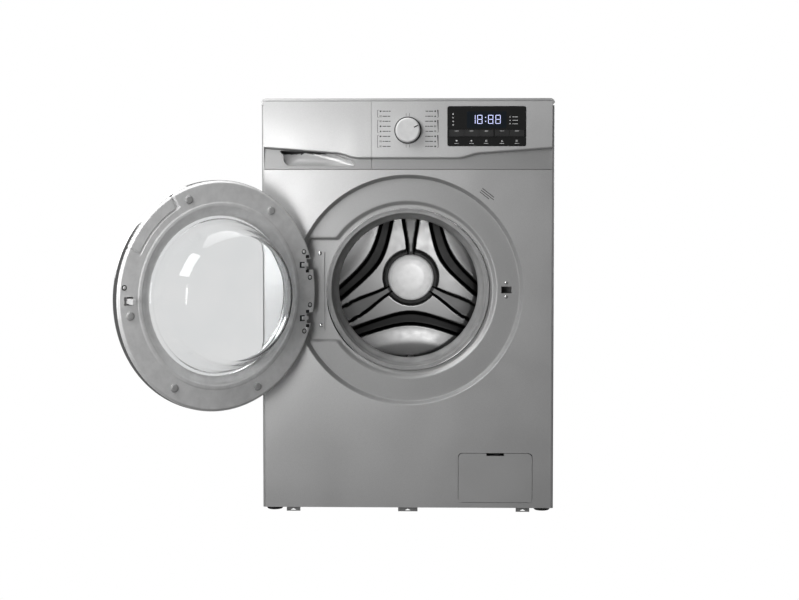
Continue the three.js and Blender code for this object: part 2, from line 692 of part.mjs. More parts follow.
function drainOutlet() {
  const end = DEPTH + PORT_REACH + 8;
  const collar = alongY(PORT_HOLE + 4, REAR_INNER - 8, REAR_INNER - 4, DRAIN_X, DRAIN_Z, 16);
  const spigot = alongY(11, DEPTH - 45, end, DRAIN_X, DRAIN_Z, 16);
  return cut(join(collar, spigot), alongY(8, DEPTH - 60, end + 5, DRAIN_X, DRAIN_Z, 16));
}

function cordGland() {
  const z = CORD_Z + RAISE;
  const collar = alongY(CORD_HOLE + 4, DEPTH + GAP, DEPTH + 4, CORD_X, z);
  const sleeve = alongY(CORD_HOLE - 1, DEPTH - 14, DEPTH + 9, CORD_X, z);
  return cut(join(collar, sleeve), alongY(4.5, DEPTH - 30, DEPTH + 30, CORD_X, z));
}

function doorLock() {
  const front = RECESS_DEPTH + SHEET + GAP;
  const body = box([HOOK_X - 17, HOOK_X + 17], [front, front + 36], [DRUM_HEIGHT - 34, DRUM_HEIGHT + 34]);
  const clearOfStep = aroundDisc(STEP_RADIUS + SHEET + GAP, front - 1, STEP_DEPTH + SHEET + GAP);
  return cut(body, hookSlot(0, front - 1, front + 32), clearOfStep);
}

// ---- Hinge, door and gasket ----

const fromAxis = (low, high) => [DRUM_HEIGHT + low, DRUM_HEIGHT + high];

function hingeBracket() {
  const back = STEP_DEPTH - GAP;
  const plate = box([HINGE_X + 2, HINGE_X + 38], [back - 3, back], fromAxis(-84, 77));
  const pin = disc(HINGE_PIN, DRUM_HEIGHT - EAR_HIGH - 2, DRUM_HEIGHT + EAR_HIGH + 2, "z", [...HINGE, 0]);
  const ears = [-1, 1].map((side) => {
    const ends = [side * EAR_LOW, side * EAR_HIGH].sort((a, b) => a - b);
    const heights = fromAxis(...ends);
    const arm = box([HINGE_X - 5, HINGE_X + 6], [HINGE_Y, back - 1], heights);
    return join(arm, disc(6.2, ...heights, "z", [...HINGE, 0]));
  });
  return join(plate, pin, ...ears);
}

// The door's pieces are made where they lie on the closed door.
function earNotch() {
  const across = [-DOOR_RADIUS - 5, HINGE_X + 9];
  const low = EAR_LOW - 0.8;
  const high = EAR_HIGH + 3.5;
  return join(
    box(across, [DOOR_FRONT - 5, DOOR_FACE + 5], fromAxis(low, high)),
    box(across, [DOOR_FRONT - 5, DOOR_FACE + 5], fromAxis(-high, -low)),
  );
}

function doorTrim() {
  const ring = around(bent([
    [DOOR_RADIUS, DOOR_RIM],
    [DOOR_RADIUS, DOOR_FRONT + 15],
    [DOOR_RADIUS - 3, DOOR_FRONT + 8],
    [DOOR_RADIUS - 9, DOOR_FRONT + 3],
    [DOOR_RADIUS - 20, DOOR_FRONT],
    [DOOR_RADIUS - 38, DOOR_FRONT + 0.8],
    [GLASS_RADIUS + 12, DOOR_FRONT + 8],
    [GLASS_RADIUS + 5, DOOR_FRONT + 14],
  ], -DOOR_WALL));
  return cut(ring, earNotch());
}

function doorFrame() {
  const ring = around(bent([
    [DOOR_RADIUS - 0.4, DOOR_RIM + GAP],
    [DOOR_RADIUS - 0.4, DOOR_RIM + 1.5],
    [DOOR_RADIUS - 1.7, DOOR_FACE - 1.5],
    [DOOR_RADIUS - 5, DOOR_FACE],
    [STEP_RADIUS + 2, DOOR_FACE],
    [STEP_RADIUS, DOOR_FACE + 2.5],
    [STEP_RADIUS - 6, DOOR_FACE + 2.5],
    [STEP_RADIUS - 10, DOOR_FACE - 1],
    [GLASS_RADIUS + 4, DOOR_FACE - 5],
    [GLASS_RADIUS + 4, DOOR_FACE - 7.5],
  ], DOOR_WALL));
  const hole = box([HOOK_X - 10, HOOK_X + 9], [-10, 20], fromAxis(-8, 8));
  return cut(ring, earNotch(), hole);
}

const doorGlass = () => around(bent([
  [GLASS_RADIUS + 15, -1.2],
  [GLASS_RADIUS, -1.2],
  [GLASS_RADIUS - 1, 8],
  [GLASS_RADIUS - 6, 22],
  [GLASS_RADIUS - 12, 35],
  [GLASS_RADIUS - 22, 60],
  [GLASS_RADIUS - 33, 76],
  [GLASS_RADIUS - 46, GLASS_DEPTH - 2],
  [0, GLASS_DEPTH],
], GLASS_WALL));

function doorHinge() {
  const centre = [...HINGE, 0];
  const barrel = disc(HINGE_BARREL, ...fromAxis(-EAR_LOW + 0.5, EAR_LOW - 0.5), "z", centre);
  const leaf = box([HINGE_X, HINGE_X + 40], [HINGE_Y - 1.5, HINGE_Y + 1.5], fromAxis(-38, 38));
  const bore = disc(HINGE_PIN + 0.35, ...fromAxis(-EAR_LOW - 5, EAR_LOW + 5), "z", centre);
  return cut(join(barrel, leaf), bore);
}

const HOOK_PIVOT = [HOOK_X, -6];

function doorHook() {
  const half = HOOK_THICKNESS / 2;
  const tip = DOOR_FACE + HOOK_REACH;
  const outline = polygon([
    [HOOK_X - half, -12],
    [HOOK_X + half, -12],
    [HOOK_X + half, tip - 10],
    [HOOK_X + half + 3.5, tip - 9],
    [HOOK_X + half + 1, tip],
    [HOOK_X - half + 1, tip],
    [HOOK_X - half, tip - 3],
  ]);
  const blade = prism(outline, "z", ...fromAxis(-5, 5));
  return join(blade, disc(4.2, ...fromAxis(-7, 7), "z", [...HOOK_PIVOT, 0]));
}

const doorGasket = () => around(bent([
  [MOUTH_RADIUS + 4, STEP_DEPTH - GAP - GASKET_WALL],
  [MOUTH_RADIUS - 3.5, STEP_DEPTH - GAP - GASKET_WALL],
  [MOUTH_RADIUS - 3.5, 40],
  [GASKET_LIP + 3, 56],
  [GASKET_LIP, 62],
  [GASKET_LIP, 68],
  [GASKET_LIP + 6, TUB_MOUTH - GAP - 3],
  [TUB_NECK - 6, TUB_MOUTH - GAP],
  [TUB_NECK + TUB_WALL, TUB_MOUTH - GAP],
], -GASKET_WALL));

// ---- Tub, drum and drive ----

const springLugTop = () => DRUM_HEIGHT + 186;
const damperLugLow = () => DRUM_HEIGHT - 246;
const sumpPlace = [140, 150];

function tubFront() {
  const shell = around(bent([
    [TUB_NECK, TUB_MOUTH],
    [TUB_NECK, TUB_FRONT],
    [TUB_RADIUS, TUB_FRONT],
    [TUB_RADIUS, TUB_SPLIT - TUB_WALL],
    [TUB_RADIUS + TUB_FLANGE, TUB_SPLIT - TUB_WALL],
  ], -TUB_WALL));
  const place = [...sumpPlace, 0];
  const low = DRUM_HEIGHT - 254;
  const spigot = disc(16, low, DRUM_HEIGHT - 200, "z", place);
  const body = join(shell, cut(spigot, aroundDisc(TUB_RADIUS + 1, 90, TUB_SPLIT)));
  return cut(body, disc(13, low - 5, DRUM_HEIGHT - 150, "z", place));
}

function tubRear() {
  const shell = around(bent([
    [TUB_RADIUS + TUB_FLANGE, TUB_SPLIT + GAP],
    [TUB_RADIUS, TUB_SPLIT + GAP],
    [TUB_RADIUS, TUB_BACK],
    [BEARING_RADIUS + 10, TUB_BACK],
  ], -TUB_WALL));
  const hub = tube(BEARING_RADIUS + 20, BEARING_RADIUS + GAP, TUB_BACK - 4, HUB_END, "y", DRUM_AXIS, 32);
  const ribs = [0, 60, 120, 180, 240, 300].map((angle) => {
    const [inner, outer] = [BEARING_RADIUS + 15, TUB_RADIUS - 2];
    const rib = new THREE.BoxGeometry(outer - inner, 16, 5);
    rib.translate((outer + inner) / 2, TUB_BACK + 10, 0);
    return solid(rib.rotateY((angle * Math.PI) / 180).translate(...DRUM_AXIS));
  });
  const lugs = [-1, 1].flatMap((side) => [
    lug(side * SPRING_X, DRUM_HEIGHT + 120, springLugTop()),
    lug(side * DAMPER_X, damperLugLow(), DRUM_HEIGHT - 180),
  ]);
  const motorMount = box([-45, 45], [405, 430], [MOTOR_Z + MOTOR_RADIUS + 0.5, DRUM_HEIGHT - TUB_RADIUS + 10]);
  const outside = cut(join(motorMount, ...lugs), aroundDisc(TUB_RADIUS + 1, 200, TUB_BACK + 1));
  const opening = box([-36, 36], [TUB_BACK - 5, TUB_BACK + 10],
    [heaterHeight() - 6, heaterHeight() + 6]);
  return cut(join(shell, hub, ...ribs, outside), opening);
}

const lug = (x, low, high) => box([x - 10, x + 10], [SPRING_Y - 10, SPRING_Y + 10], [low, high]);
const heaterHeight = () => DRUM_HEIGHT - DRUM_RADIUS - TUB_CLEARANCE / 2 - 0.5;

function heater() {
  const z = heaterHeight();
  const back = TUB_BACK + 6;
  const path = new THREE.CurvePath();
  const at = (x, y) => new THREE.Vector3(x, y, z);
  path.add(new THREE.LineCurve3(at(-25, back), at(-25, 170)));
  path.add(new THREE.QuadraticBezierCurve3(at(-25, 170), at(-25, 145), at(0, 145)));
  path.add(new THREE.QuadraticBezierCurve3(at(0, 145), at(25, 145), at(25, 170)));
  path.add(new THREE.LineCurve3(at(25, 170), at(25, back)));
  const rod = swept(path, 4, 0, 40, 3);
  const flange = box([-40, 40], [TUB_BACK + TUB_WALL + GAP, TUB_BACK + 14], [z - 8, z + 8]);
  return join(rod, flange);
}

// A heavy crescent bolted to the front of the tub.
function counterweight() {
  const shape = new THREE.Shape();
  shape.absarc(0, 0, TUB_RADIUS - 3, Math.PI / 9, (8 * Math.PI) / 9);
  shape.absarc(0, 0, TUB_NECK + 18, (8 * Math.PI) / 9, Math.PI / 9, true);
  const block = new THREE.ExtrudeGeometry(shape, { depth: 30, bevelEnabled: false, curveSegments: 9 });
  block.rotateX(Math.PI / 2).translate(0, TUB_FRONT - TUB_WALL - GAP, DRUM_HEIGHT);
  return solid(block);
}

const drumShell = () => around(bent([
  [DRUM_MOUTH, DRUM_FRONT - 6],
  [DRUM_MOUTH + 2, DRUM_FRONT - 2],
  [DRUM_MOUTH + 8, DRUM_FRONT],
  [DRUM_RADIUS - 8, DRUM_FRONT],
  [DRUM_RADIUS, DRUM_FRONT + 8],
  [DRUM_RADIUS, DRUM_BACK],
  [32, DRUM_BACK],
], DRUM_SHEET));

function lifter(angle) {
  const base = (DRUM_RADIUS - DRUM_SHEET) * Math.cos(Math.PI / ROUND) - GAP;
  const shape = polygon([
    [base - 4, -30],
    [base - 1.2, -14],
    [base - 1.2, 14],
    [base - 4, 30],
    [base - 24, 17],
    [base - 46, 11],
    [base - 56, 6],
    [base - 56, -6],
    [base - 46, -11],
    [base - 24, -17],
  ]);
  const settings = { depth: DRUM_BACK - DRUM_FRONT - 50, bevelEnabled: false };
  const geometry = new THREE.ExtrudeGeometry(shape, settings);
  geometry.rotateX(Math.PI / 2).translate(0, DRUM_BACK - 20, 0);
  return solid(geometry.rotateY(-angle).translate(...DRUM_AXIS));
}

// The three-armed spider that carries the drum, with its shaft.
function drumSpider() {
  const front = DRUM_BACK + GAP;
  const hub = aroundDisc(44, front, TUB_BACK - 6);
  const shaft = disc(SHAFT_RADIUS, front + 5, HUB_END + 26, "y", DRUM_AXIS, 24);
  const arms = [90, 210, 330].map((angle) => {
    const shape = polygon([[20, -24], [DRUM_RADIUS - 6, -16], [DRUM_RADIUS - 6, 16], [20, 24]]);
    const geometry = new THREE.ExtrudeGeometry(shape, { depth: 15, bevelEnabled: false });
    geometry.rotateX(Math.PI / 2).translate(0, front + 15, 0);
    return solid(geometry.rotateY((-angle * Math.PI) / 180).translate(...DRUM_AXIS));
  });
  return join(hub, shaft, ...arms);
}

const hubCap = () => around([
  [0, DRUM_BACK - 14],
  [38, DRUM_BACK - 13],
  [49, DRUM_BACK - 10],
  [53.5, DRUM_BACK - DRUM_SHEET - GAP],
  [0, DRUM_BACK - DRUM_SHEET - GAP],
]);

const bearingSleeve = () => tube(BEARING_RADIUS, SHAFT_RADIUS + GAP, TUB_BACK + 2, HUB_END - 4, "y", DRUM_AXIS, 32);

function drumPulley() {
  const bore = SHAFT_RADIUS + GAP;
  const low = PULLEY_Y - BELT_WIDTH / 2 - 2;
  const high = PULLEY_Y + BELT_WIDTH / 2 + 2;
  const rim = tube(PULLEY_RADIUS, PULLEY_RADIUS - 9, low, high, "y", DRUM_AXIS, ROUND);
  const hub = tube(24, bore, HUB_END + 1, high, "y", DRUM_AXIS, 24);
  const web = tube(PULLEY_RADIUS - 5, bore + 4, PULLEY_Y - 2, PULLEY_Y + 2, "y", DRUM_AXIS, ROUND);
  const holes = [0, 60, 120, 180, 240, 300].map((angle) => {
    const turn = (angle * Math.PI) / 180;
    return alongY(24, low - 5, high + 5, 78 * Math.cos(turn), DRUM_HEIGHT + 78 * Math.sin(turn), 10);
  });
  return join(rim, hub, cut(web, ...holes));
}

const MOTOR_AXIS = [0, 0, MOTOR_Z];
const MOTOR_END = 500;

function motor() {
  const body = turned([
    [0, 392],
    [30, 392],
    [MOTOR_RADIUS, 402],
    [MOTOR_RADIUS, MOTOR_END - 10],
    [28, MOTOR_END],
    [0, MOTOR_END],
  ], "y", MOTOR_AXIS, 20);
  return cut(body, disc(5.6, MOTOR_END - 26, MOTOR_END + 5, "y", MOTOR_AXIS));
}

function motorPulley() {
  const wheel = disc(MOTOR_PULLEY, PULLEY_Y - 8, PULLEY_Y + 8, "y", MOTOR_AXIS, 24);
  return join(wheel, disc(5, MOTOR_END - 22, PULLEY_Y - 5, "y", MOTOR_AXIS));
}

function beltLoop(large, small, distance) {
  const turn = Math.acos((large - small) / distance);
  const shape = new THREE.Shape();
  shape.absarc(0, DRUM_HEIGHT, large, turn - Math.PI / 2, 1.5 * Math.PI - turn);
  shape.absarc(0, DRUM_HEIGHT - distance, small, 1.5 * Math.PI - turn, 1.5 * Math.PI + turn);
  return shape;
}

function driveBelt() {
  const distance = DRUM_HEIGHT - MOTOR_Z;
  const low = PULLEY_Y - BELT_WIDTH / 2;
  const high = PULLEY_Y + BELT_WIDTH / 2;
  const inner = GAP;
  const outer = GAP + BELT_THICKNESS;
  const loop = (extra, from, to) =>
    prism(beltLoop(PULLEY_RADIUS + extra, MOTOR_PULLEY + extra, distance), "y", from, to, 9);
  return cut(loop(outer, low, high), loop(inner + 1.2, low - 5, high + 5));
}

// ---- Suspension ----

class Helix extends THREE.Curve {
  constructor(x, y, low, high) {
    super();
    Object.assign(this, { x, y, low, high });
  }

  getPoint(share, target = new THREE.Vector3()) {
    const angle = share * SPRING_TURNS * Math.PI * 2;
    const radius = SPRING_RADIUS;
    const height = this.low + (this.high - this.low) * share;
    return target.set(this.x + radius * Math.cos(angle), this.y + radius * Math.sin(angle), height);
  }
}

function suspensionSpring(side) {
  const low = springLugTop() + SPRING_WIRE + 1;
  const high = hangerZ() - SPRING_WIRE - 1;
  const curve = new Helix(side * SPRING_X, SPRING_Y, low, high);
  return swept(curve, SPRING_WIRE, 0, SPRING_TURNS * 8, 2);
}

function damperCylinder(side) {
  const place = [side * DAMPER_X, SPRING_Y, 0];
  const low = TRAY_TOP + 8 + GAP;
  const top = low + 118;
  return cut(
    disc(DAMPER_ROD + 4, low, top, "z", place),
    disc(DAMPER_ROD + 0.8, low + 6, top + 5, "z", place),
  );
}

function damperRod(side) {
  const place = [side * DAMPER_X, SPRING_Y, 0];
  const top = damperLugLow() - GAP;
  return join(
    disc(DAMPER_ROD, TRAY_TOP + 45, top, "z", place),
    disc(DAMPER_ROD + 3, top - 8, top, "z", place),
  );
}

// ---- Drain pump ----

const PUMP_AXIS = [PUMP_X, 0, PUMP_Z];
const CHAMBER_END = 78;
const IMPELLER_END = 104;
const pumpInlet = [PUMP_X, 58, 0];

function drainPump() {
  const shell = turned([
    [FILTER_RADIUS + 1, 20],
    [FILTER_RADIUS + 4, 20],
    [FILTER_RADIUS + 4, CHAMBER_END],
    [PUMP_HOUSING - 8, IMPELLER_END + 4],
    [28, IMPELLER_END + 8],
    [28, IMPELLER_END + 56],
    [2.6, IMPELLER_END + 56],
    [2.6, IMPELLER_END],
    [FILTER_RADIUS - 2, IMPELLER_END],
    [FILTER_RADIUS - 2, CHAMBER_END],
    [FILTER_RADIUS + 1, CHAMBER_END - 4],
  ], "y", PUMP_AXIS, 28);
  const top = PUMP_Z + FILTER_RADIUS + 26;
  const inlet = disc(16, PUMP_Z + 20, top, "z", pumpInlet);
  const chamber = disc(FILTER_RADIUS + 1, 15, CHAMBER_END, "y", PUMP_AXIS, 28);
  const spigot = box([PUMP_X - 62, PUMP_X - 20], [84, 100], [PUMP_Z + 2, PUMP_Z + 18]);
  const inner = disc(FILTER_RADIUS - 2, CHAMBER_END - 5, IMPELLER_END, "y", PUMP_AXIS, 28);
  const bore = box([PUMP_X - 70, PUMP_X - 15], [87, 97], [PUMP_Z + 5, PUMP_Z + 15]);
  return cut(join(shell, cut(join(inlet, spigot), chamber, inner)), disc(13, PUMP_Z, top + 5, "z", pumpInlet), bore);
}

function pumpFilter() {
  const cap = disc(FILTER_RADIUS, 22, 32, "y", PUMP_AXIS, 28);
  const handle = box([PUMP_X - 4, PUMP_X + 4], [12, 23], [PUMP_Z - 21, PUMP_Z + 21]);
  const ring = tube(FILTER_RADIUS - 4, FILTER_RADIUS - 7, 60, 72, "y", PUMP_AXIS, 20);
  const bars = [0, 90, 180, 270].map((angle) => {
    const turn = (angle * Math.PI) / 180;
    const x = PUMP_X + (FILTER_RADIUS - 5.5) * Math.cos(turn);
    return alongY(1.8, 30, 65, x, PUMP_Z + (FILTER_RADIUS - 5.5) * Math.sin(turn), 6);
  });
  return join(cap, handle, ring, ...bars);
}

function pumpImpeller() {
  const shaft = disc(2, CHAMBER_END + 6, IMPELLER_END + 40, "y", PUMP_AXIS, 10);
  const disk = disc(16, IMPELLER_END - 6, IMPELLER_END - 3, "y", PUMP_AXIS, 20);
  const along = [CHAMBER_END + 6, IMPELLER_END - 4];
  return join(
    shaft,
    disk,
    box([PUMP_X - 16, PUMP_X + 16], along, [PUMP_Z - 1, PUMP_Z + 1]),
    box([PUMP_X - 1, PUMP_X + 1], along, [PUMP_Z - 16, PUMP_Z + 16]),
  );
}

function sumpHose() {
  const [x, y] = sumpPlace;
  const high = DRUM_HEIGHT - 254 - GAP;
  const low = PUMP_Z + FILTER_RADIUS + 26 + GAP;
  const points = [
    [x, y, high],
    [x, y, high - 16],
    [x + 12, y - 24, high - 38],
    [x + 30, pumpInlet[1] + 26, low + 28],
    [PUMP_X, pumpInlet[1], low + 12],
    [PUMP_X, pumpInlet[1], low],
  ].map((point) => new THREE.Vector3(...point));
  return swept(new THREE.CatmullRomCurve3(points), 16, 13, 12, 4);
}

// ---- Filter hatch ----

const HATCH_AXIS = [3.6, HATCH_BOTTOM + 3.6];

function filterHatch() {
  const across = [HATCH_LEFT, HATCH_RIGHT];
  const corners = [HATCH_CORNER - HATCH_MARGIN, HATCH_FOOT_CORNER + HATCH_SWING];
  const plate = hatchBlock(across, [HATCH_BOTTOM, HATCH_TOP], corners, -0.8, 1.6);
  const middle = (HATCH_LEFT + HATCH_RIGHT) / 2;
  const finger = box([middle - 18, middle + 18], [-5, 5], [HATCH_TOP - 5, HATCH_TOP + 5]);
  const lugs = [across[0] + 14, across[1] - 22].map((x) =>
    box([x, x + 8], [1, HATCH_AXIS[0] + 1.6], [HATCH_AXIS[1] - 1.6, HATCH_AXIS[1] + 8]));
  return join(cut(plate, finger), ...lugs);
}

// ---- Putting it together ----

place(machine, "side_panel_left", sidePanel(-1), silver);
place(machine, "side_panel_right", sidePanel(1), silver);
place(machine, "front_panel", frontPanel(), silver);
place(machine, "worktop", worktop(), silver);
place(machine, "rear_panel", rearPanel(), galvanised);
place(machine, "rear_service_cover", serviceCover(), galvanised);
place(machine, "base_tray", baseTray(), silver);
footPlaces().forEach((where, i) => place(machine, `foot_${i + 1}`, foot(where), blackRubber));

place(machine, "control_fascia", controlFascia(), silverPlastic);
place(machine, "display_lens", displayLens(), blackGloss);
place(machine, "control_board", controlBoard(), board);
buttonPlaces.forEach((where, i) => place(machine, `button_${i + 1}`, button(where), greyPlastic));
place(machine, "program_knob", programKnob(), silverPlastic).position.z = KNOB_Z;
place(machine, "drawer_front", drawerFront(), silverPlastic);
place(machine, "drawer_tray", drawerTray(), palePlastic);
place(machine, "dispenser_housing", dispenserHousing(), palePlastic);

place(machine, "inlet_valve", inletValve(), palePlastic);
place(machine, "drain_outlet", drainOutlet(), greyPlastic);
place(machine, "cord_gland", cordGland(), blackRubber);
place(machine, "door_lock", doorLock(), greyPlastic);
place(machine, "hinge_bracket", hingeBracket(), steel);
place(machine, "door_gasket", doorGasket(), rubber);

place(machine, "tub_front", tubFront(), palePlastic);
place(machine, "tub_rear", tubRear(), palePlastic);
place(machine, "counterweight", counterweight(), concrete);
place(machine, "heater", heater(), steel);
place(machine, "drum_shell", drumShell(), stainless);
for (const [i, angle] of [30, 150, 270].entries()) {
  place(machine, `drum_lifter_${i + 1}`, lifter((angle * Math.PI) / 180), greyPlastic);
}
place(machine, "drum_spider", drumSpider(), steel);
place(machine, "hub_cap", hubCap(), palePlastic);
place(machine, "drum_bearing", bearingSleeve(), steel);
place(machine, "drum_pulley", drumPulley(), steel);
place(machine, "motor", motor(), steel);
place(machine, "motor_pulley", motorPulley(), steel);
place(machine, "drive_belt", driveBelt(), blackRubber);
for (const [side, word] of [[-1, "left"], [1, "right"]]) {
  place(machine, `suspension_spring_${word}`, suspensionSpring(side), steel);
  place(machine, `damper_cylinder_${word}`, damperCylinder(side), greyPlastic);
  place(machine, `damper_rod_${word}`, damperRod(side), steel);
}

place(machine, "drain_pump", drainPump(), greyPlastic);
place(machine, "pump_filter", pumpFilter(), palePlastic);
place(machine, "pump_impeller", pumpImpeller(), greyPlastic);
place(machine, "sump_hose", sumpHose(), blackRubber);
place(machine, "filter_hatch", filterHatch(), silverPlastic);

// The door swings about its hinge axis and stands open.
const door = new THREE.Group();
door.position.set(...HINGE, 0);
door.rotation.z = (-DOOR_OPEN * Math.PI) / 180;
machine.add(door);
const doorPieces = [
  ["door_trim", doorTrim(), bright],
  ["door_frame", doorFrame(), silverPlastic],
  ["door_glass", doorGlass(), glass],
  ["door_hinge", doorHinge(), steel],
  ["door_hook", doorHook(), greyPlastic],
];
for (const [name, body, material] of doorPieces) {
  place(door, name, body, material).position.set(-HINGE_X, -HINGE_Y, 0);
}

// The origin is the middle of the footprint, on the floor.
machine.updateMatrixWorld(true);
const size = new THREE.Box3().setFromObject(machine);
machine.position.set(-(size.min.x + size.max.x) / 2, -(size.min.y + size.max.y) / 2, -size.min.z);

export default machine;
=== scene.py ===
"""A front load washing machine with its door open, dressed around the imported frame."""

import json
from math import atan2, cos, degrees, hypot, pi, radians, sin

import bmesh
import bpy
from mathutils import Matrix, Vector


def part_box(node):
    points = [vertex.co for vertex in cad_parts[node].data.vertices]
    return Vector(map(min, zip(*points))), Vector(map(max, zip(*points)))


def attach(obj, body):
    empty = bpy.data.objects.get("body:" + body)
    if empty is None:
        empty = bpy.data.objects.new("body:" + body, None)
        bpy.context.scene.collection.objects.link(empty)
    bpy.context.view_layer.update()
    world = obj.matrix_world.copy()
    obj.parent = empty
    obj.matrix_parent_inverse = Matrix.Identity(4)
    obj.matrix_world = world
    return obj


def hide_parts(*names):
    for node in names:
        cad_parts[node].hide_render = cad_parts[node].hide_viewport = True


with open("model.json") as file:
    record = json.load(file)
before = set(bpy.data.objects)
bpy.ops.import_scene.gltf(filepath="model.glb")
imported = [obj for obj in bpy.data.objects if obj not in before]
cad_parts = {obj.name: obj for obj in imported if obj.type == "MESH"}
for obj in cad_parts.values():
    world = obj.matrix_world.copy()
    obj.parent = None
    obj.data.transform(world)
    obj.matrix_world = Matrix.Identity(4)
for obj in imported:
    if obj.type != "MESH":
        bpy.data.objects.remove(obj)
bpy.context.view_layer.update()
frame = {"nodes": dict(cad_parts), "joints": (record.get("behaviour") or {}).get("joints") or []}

# ---- Places and sizes, in millimetres of the cabinet's own frame ----
# X runs right from the middle, Y back from the front panel's face, Z up from the floor.

MM = 0.001
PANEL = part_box("front_panel")
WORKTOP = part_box("worktop")
MIDDLE = (WORKTOP[0][0] + WORKTOP[1][0]) / 2
FACE = PANEL[0][1]
JOINTS = {joint["name"]: joint for joint in frame["joints"]}


def row(x, y, z):
    """A point of the cabinet's frame in the row frame, in metres."""
    return Vector((MIDDLE + x * MM, FACE + y * MM, z * MM))


def cabinet(point):
    """A point of the row frame in the cabinet's frame, in millimetres."""
    return ((point[0] - MIDDLE) / MM, (point[1] - FACE) / MM, point[2] / MM)


def limits(node):
    low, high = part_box(node)
    return cabinet(low), cabinet(high)


DOOR_OPEN = radians(JOINTS["door_hinge"]["range_deg"][1])
HINGE = Vector(JOINTS["door_hinge"]["pos_m"])
DRUM_Z = HINGE.z / MM
PANEL_LOW, PANEL_HIGH = limits("front_panel")
FASCIA_LOW, FASCIA_HIGH = limits("control_fascia")
DRAWER_LOW, DRAWER_HIGH = limits("drawer_front")
LENS_LOW, LENS_HIGH = limits("display_lens")
KNOB_LOW, KNOB_HIGH = limits("program_knob")
HATCH_LOW, HATCH_HIGH = limits("filter_hatch")
KNOB_Z = (KNOB_LOW[2] + KNOB_HIGH[2]) / 2

RECESS_RADIUS = 233
RECESS_DEPTH = 12
STEP_RADIUS = 181
STEP_DEPTH = 17.6
MOUTH_RADIUS = 161
POCKET_HALF = 105
DOOR_RADIUS = 225
DOOR_FACE = 7
DOOR_FRONT = -26
GLASS_RADIUS = 152
DRUM_RADIUS = 239
DRUM_FRONT = 108
DRUM_BACK = 412
HUB_RADIUS = 61
HOOK_X = 202
GAP = 0.3
SHEET = 1.2
WALL = 2.5

# ---- Materials ----


def linear(value):
    """A display level from 0 to 255 as a linear one."""
    share = value / 255
    return share / 12.92 if share <= 0.04045 else ((share + 0.055) / 1.055) ** 2.4


def grey(level, warm=0.0):
    return (linear(level * (1 + warm)), linear(level), linear(level * (1 - warm)), 1)


class Paint:
    """A node material that is built up step by step."""

    def __init__(self, name):
        self.material = bpy.data.materials.new(name)
        self.material.use_nodes = True
        self.tree = self.material.node_tree
        self.shader = self.tree.nodes["Principled BSDF"]
        self.place = self.tree.nodes.new("ShaderNodeTexCoord").outputs["Object"]

    def set(self, **values):
        for name, value in values.items():
            self.shader.inputs[name.replace("_", " ")].default_value = value
        return self

    def noise(self, scale, stretch=(1, 1, 1), detail=3.0, roughness=0.55):
        mapping = self.tree.nodes.new("ShaderNodeMapping")
        mapping.inputs["Scale"].default_value = stretch
        texture = self.tree.nodes.new("ShaderNodeTexNoise")
        texture.inputs["Scale"].default_value = scale
        texture.inputs["Detail"].default_value = detail
        texture.inputs["Roughness"].default_value = roughness
        self.tree.links.new(self.place, mapping.inputs["Vector"])
        self.tree.links.new(mapping.outputs["Vector"], texture.inputs["Vector"])
        return texture.outputs["Fac"]

    def ramp(self, fac, low, high, start=0.35, end=0.65):
        node = self.tree.nodes.new("ShaderNodeMapRange")
        node.inputs["From Min"].default_value = start
        node.inputs["From Max"].default_value = end
        node.inputs["To Min"].default_value = low
        node.inputs["To Max"].default_value = high
        self.tree.links.new(fac, node.inputs["Value"])
        return node.outputs["Result"]

    def colours(self, fac, first, second):
        node = self.tree.nodes.new("ShaderNodeMix")
        node.data_type = "RGBA"
        node.inputs["A"].default_value = first
        node.inputs["B"].default_value = second
        self.tree.links.new(self.ramp(fac, 0, 1), node.inputs["Factor"])
        self.tree.links.new(node.outputs["Result"], self.shader.inputs["Base Color"])
        return self

    def rough(self, fac, low, high):
        self.tree.links.new(self.ramp(fac, low, high), self.shader.inputs["Roughness"])
        return self

    def bump(self, fac, distance, strength=0.5):
        node = self.tree.nodes.new("ShaderNodeBump")
        node.inputs["Strength"].default_value = strength
        node.inputs["Distance"].default_value = distance
        self.tree.links.new(fac, node.inputs["Height"])
        self.tree.links.new(node.outputs["Normal"], self.shader.inputs["Normal"])
        return self


def enamel(name, level, rough=0.38, metallic=0.55, warm=0.0):
    """Silver enamel: fine flake in the colour, and a faint orange-peel surface."""
    paint = Paint(name).set(Metallic=metallic, Coat_Weight=0.15, Coat_Roughness=0.25)
    paint.colours(paint.noise(1600, detail=2), grey(level * 0.965, warm), grey(level * 1.03, warm))
    paint.rough(paint.noise(9, detail=4), rough - 0.03, rough + 0.04)
    paint.bump(paint.noise(420, detail=2), 0.00003, 0.35)
    return paint.material


def plastic(name, level, rough=0.45, grain=1400, depth=0.00004, warm=0.0, metallic=0.0):
    """Moulded plastic: an even colour with a fine spark-eroded grain."""
    paint = Paint(name).set(Metallic=metallic, IOR=1.5)
    paint.colours(paint.noise(60, detail=5), grey(level * 0.97, warm), grey(level * 1.02, warm))
    paint.rough(paint.noise(25, detail=4), rough - 0.05, rough + 0.05)
    paint.bump(paint.noise(grain, detail=2), depth, 0.5)
    return paint.material


def metal(name, level, rough=0.25, stretch=(1, 1, 1), grain=600, depth=0.00002, warm=0.0):
    """Bare metal with a drawn or turned grain."""
    paint = Paint(name).set(Metallic=1.0)
    paint.colours(paint.noise(grain, stretch), grey(level * 0.975, warm), grey(level * 1.015, warm))
    paint.rough(paint.noise(grain / 12, stretch, detail=5), rough - 0.02, rough + 0.03)
    paint.bump(paint.noise(grain, stretch, detail=2), depth, 0.2)
    return paint.material


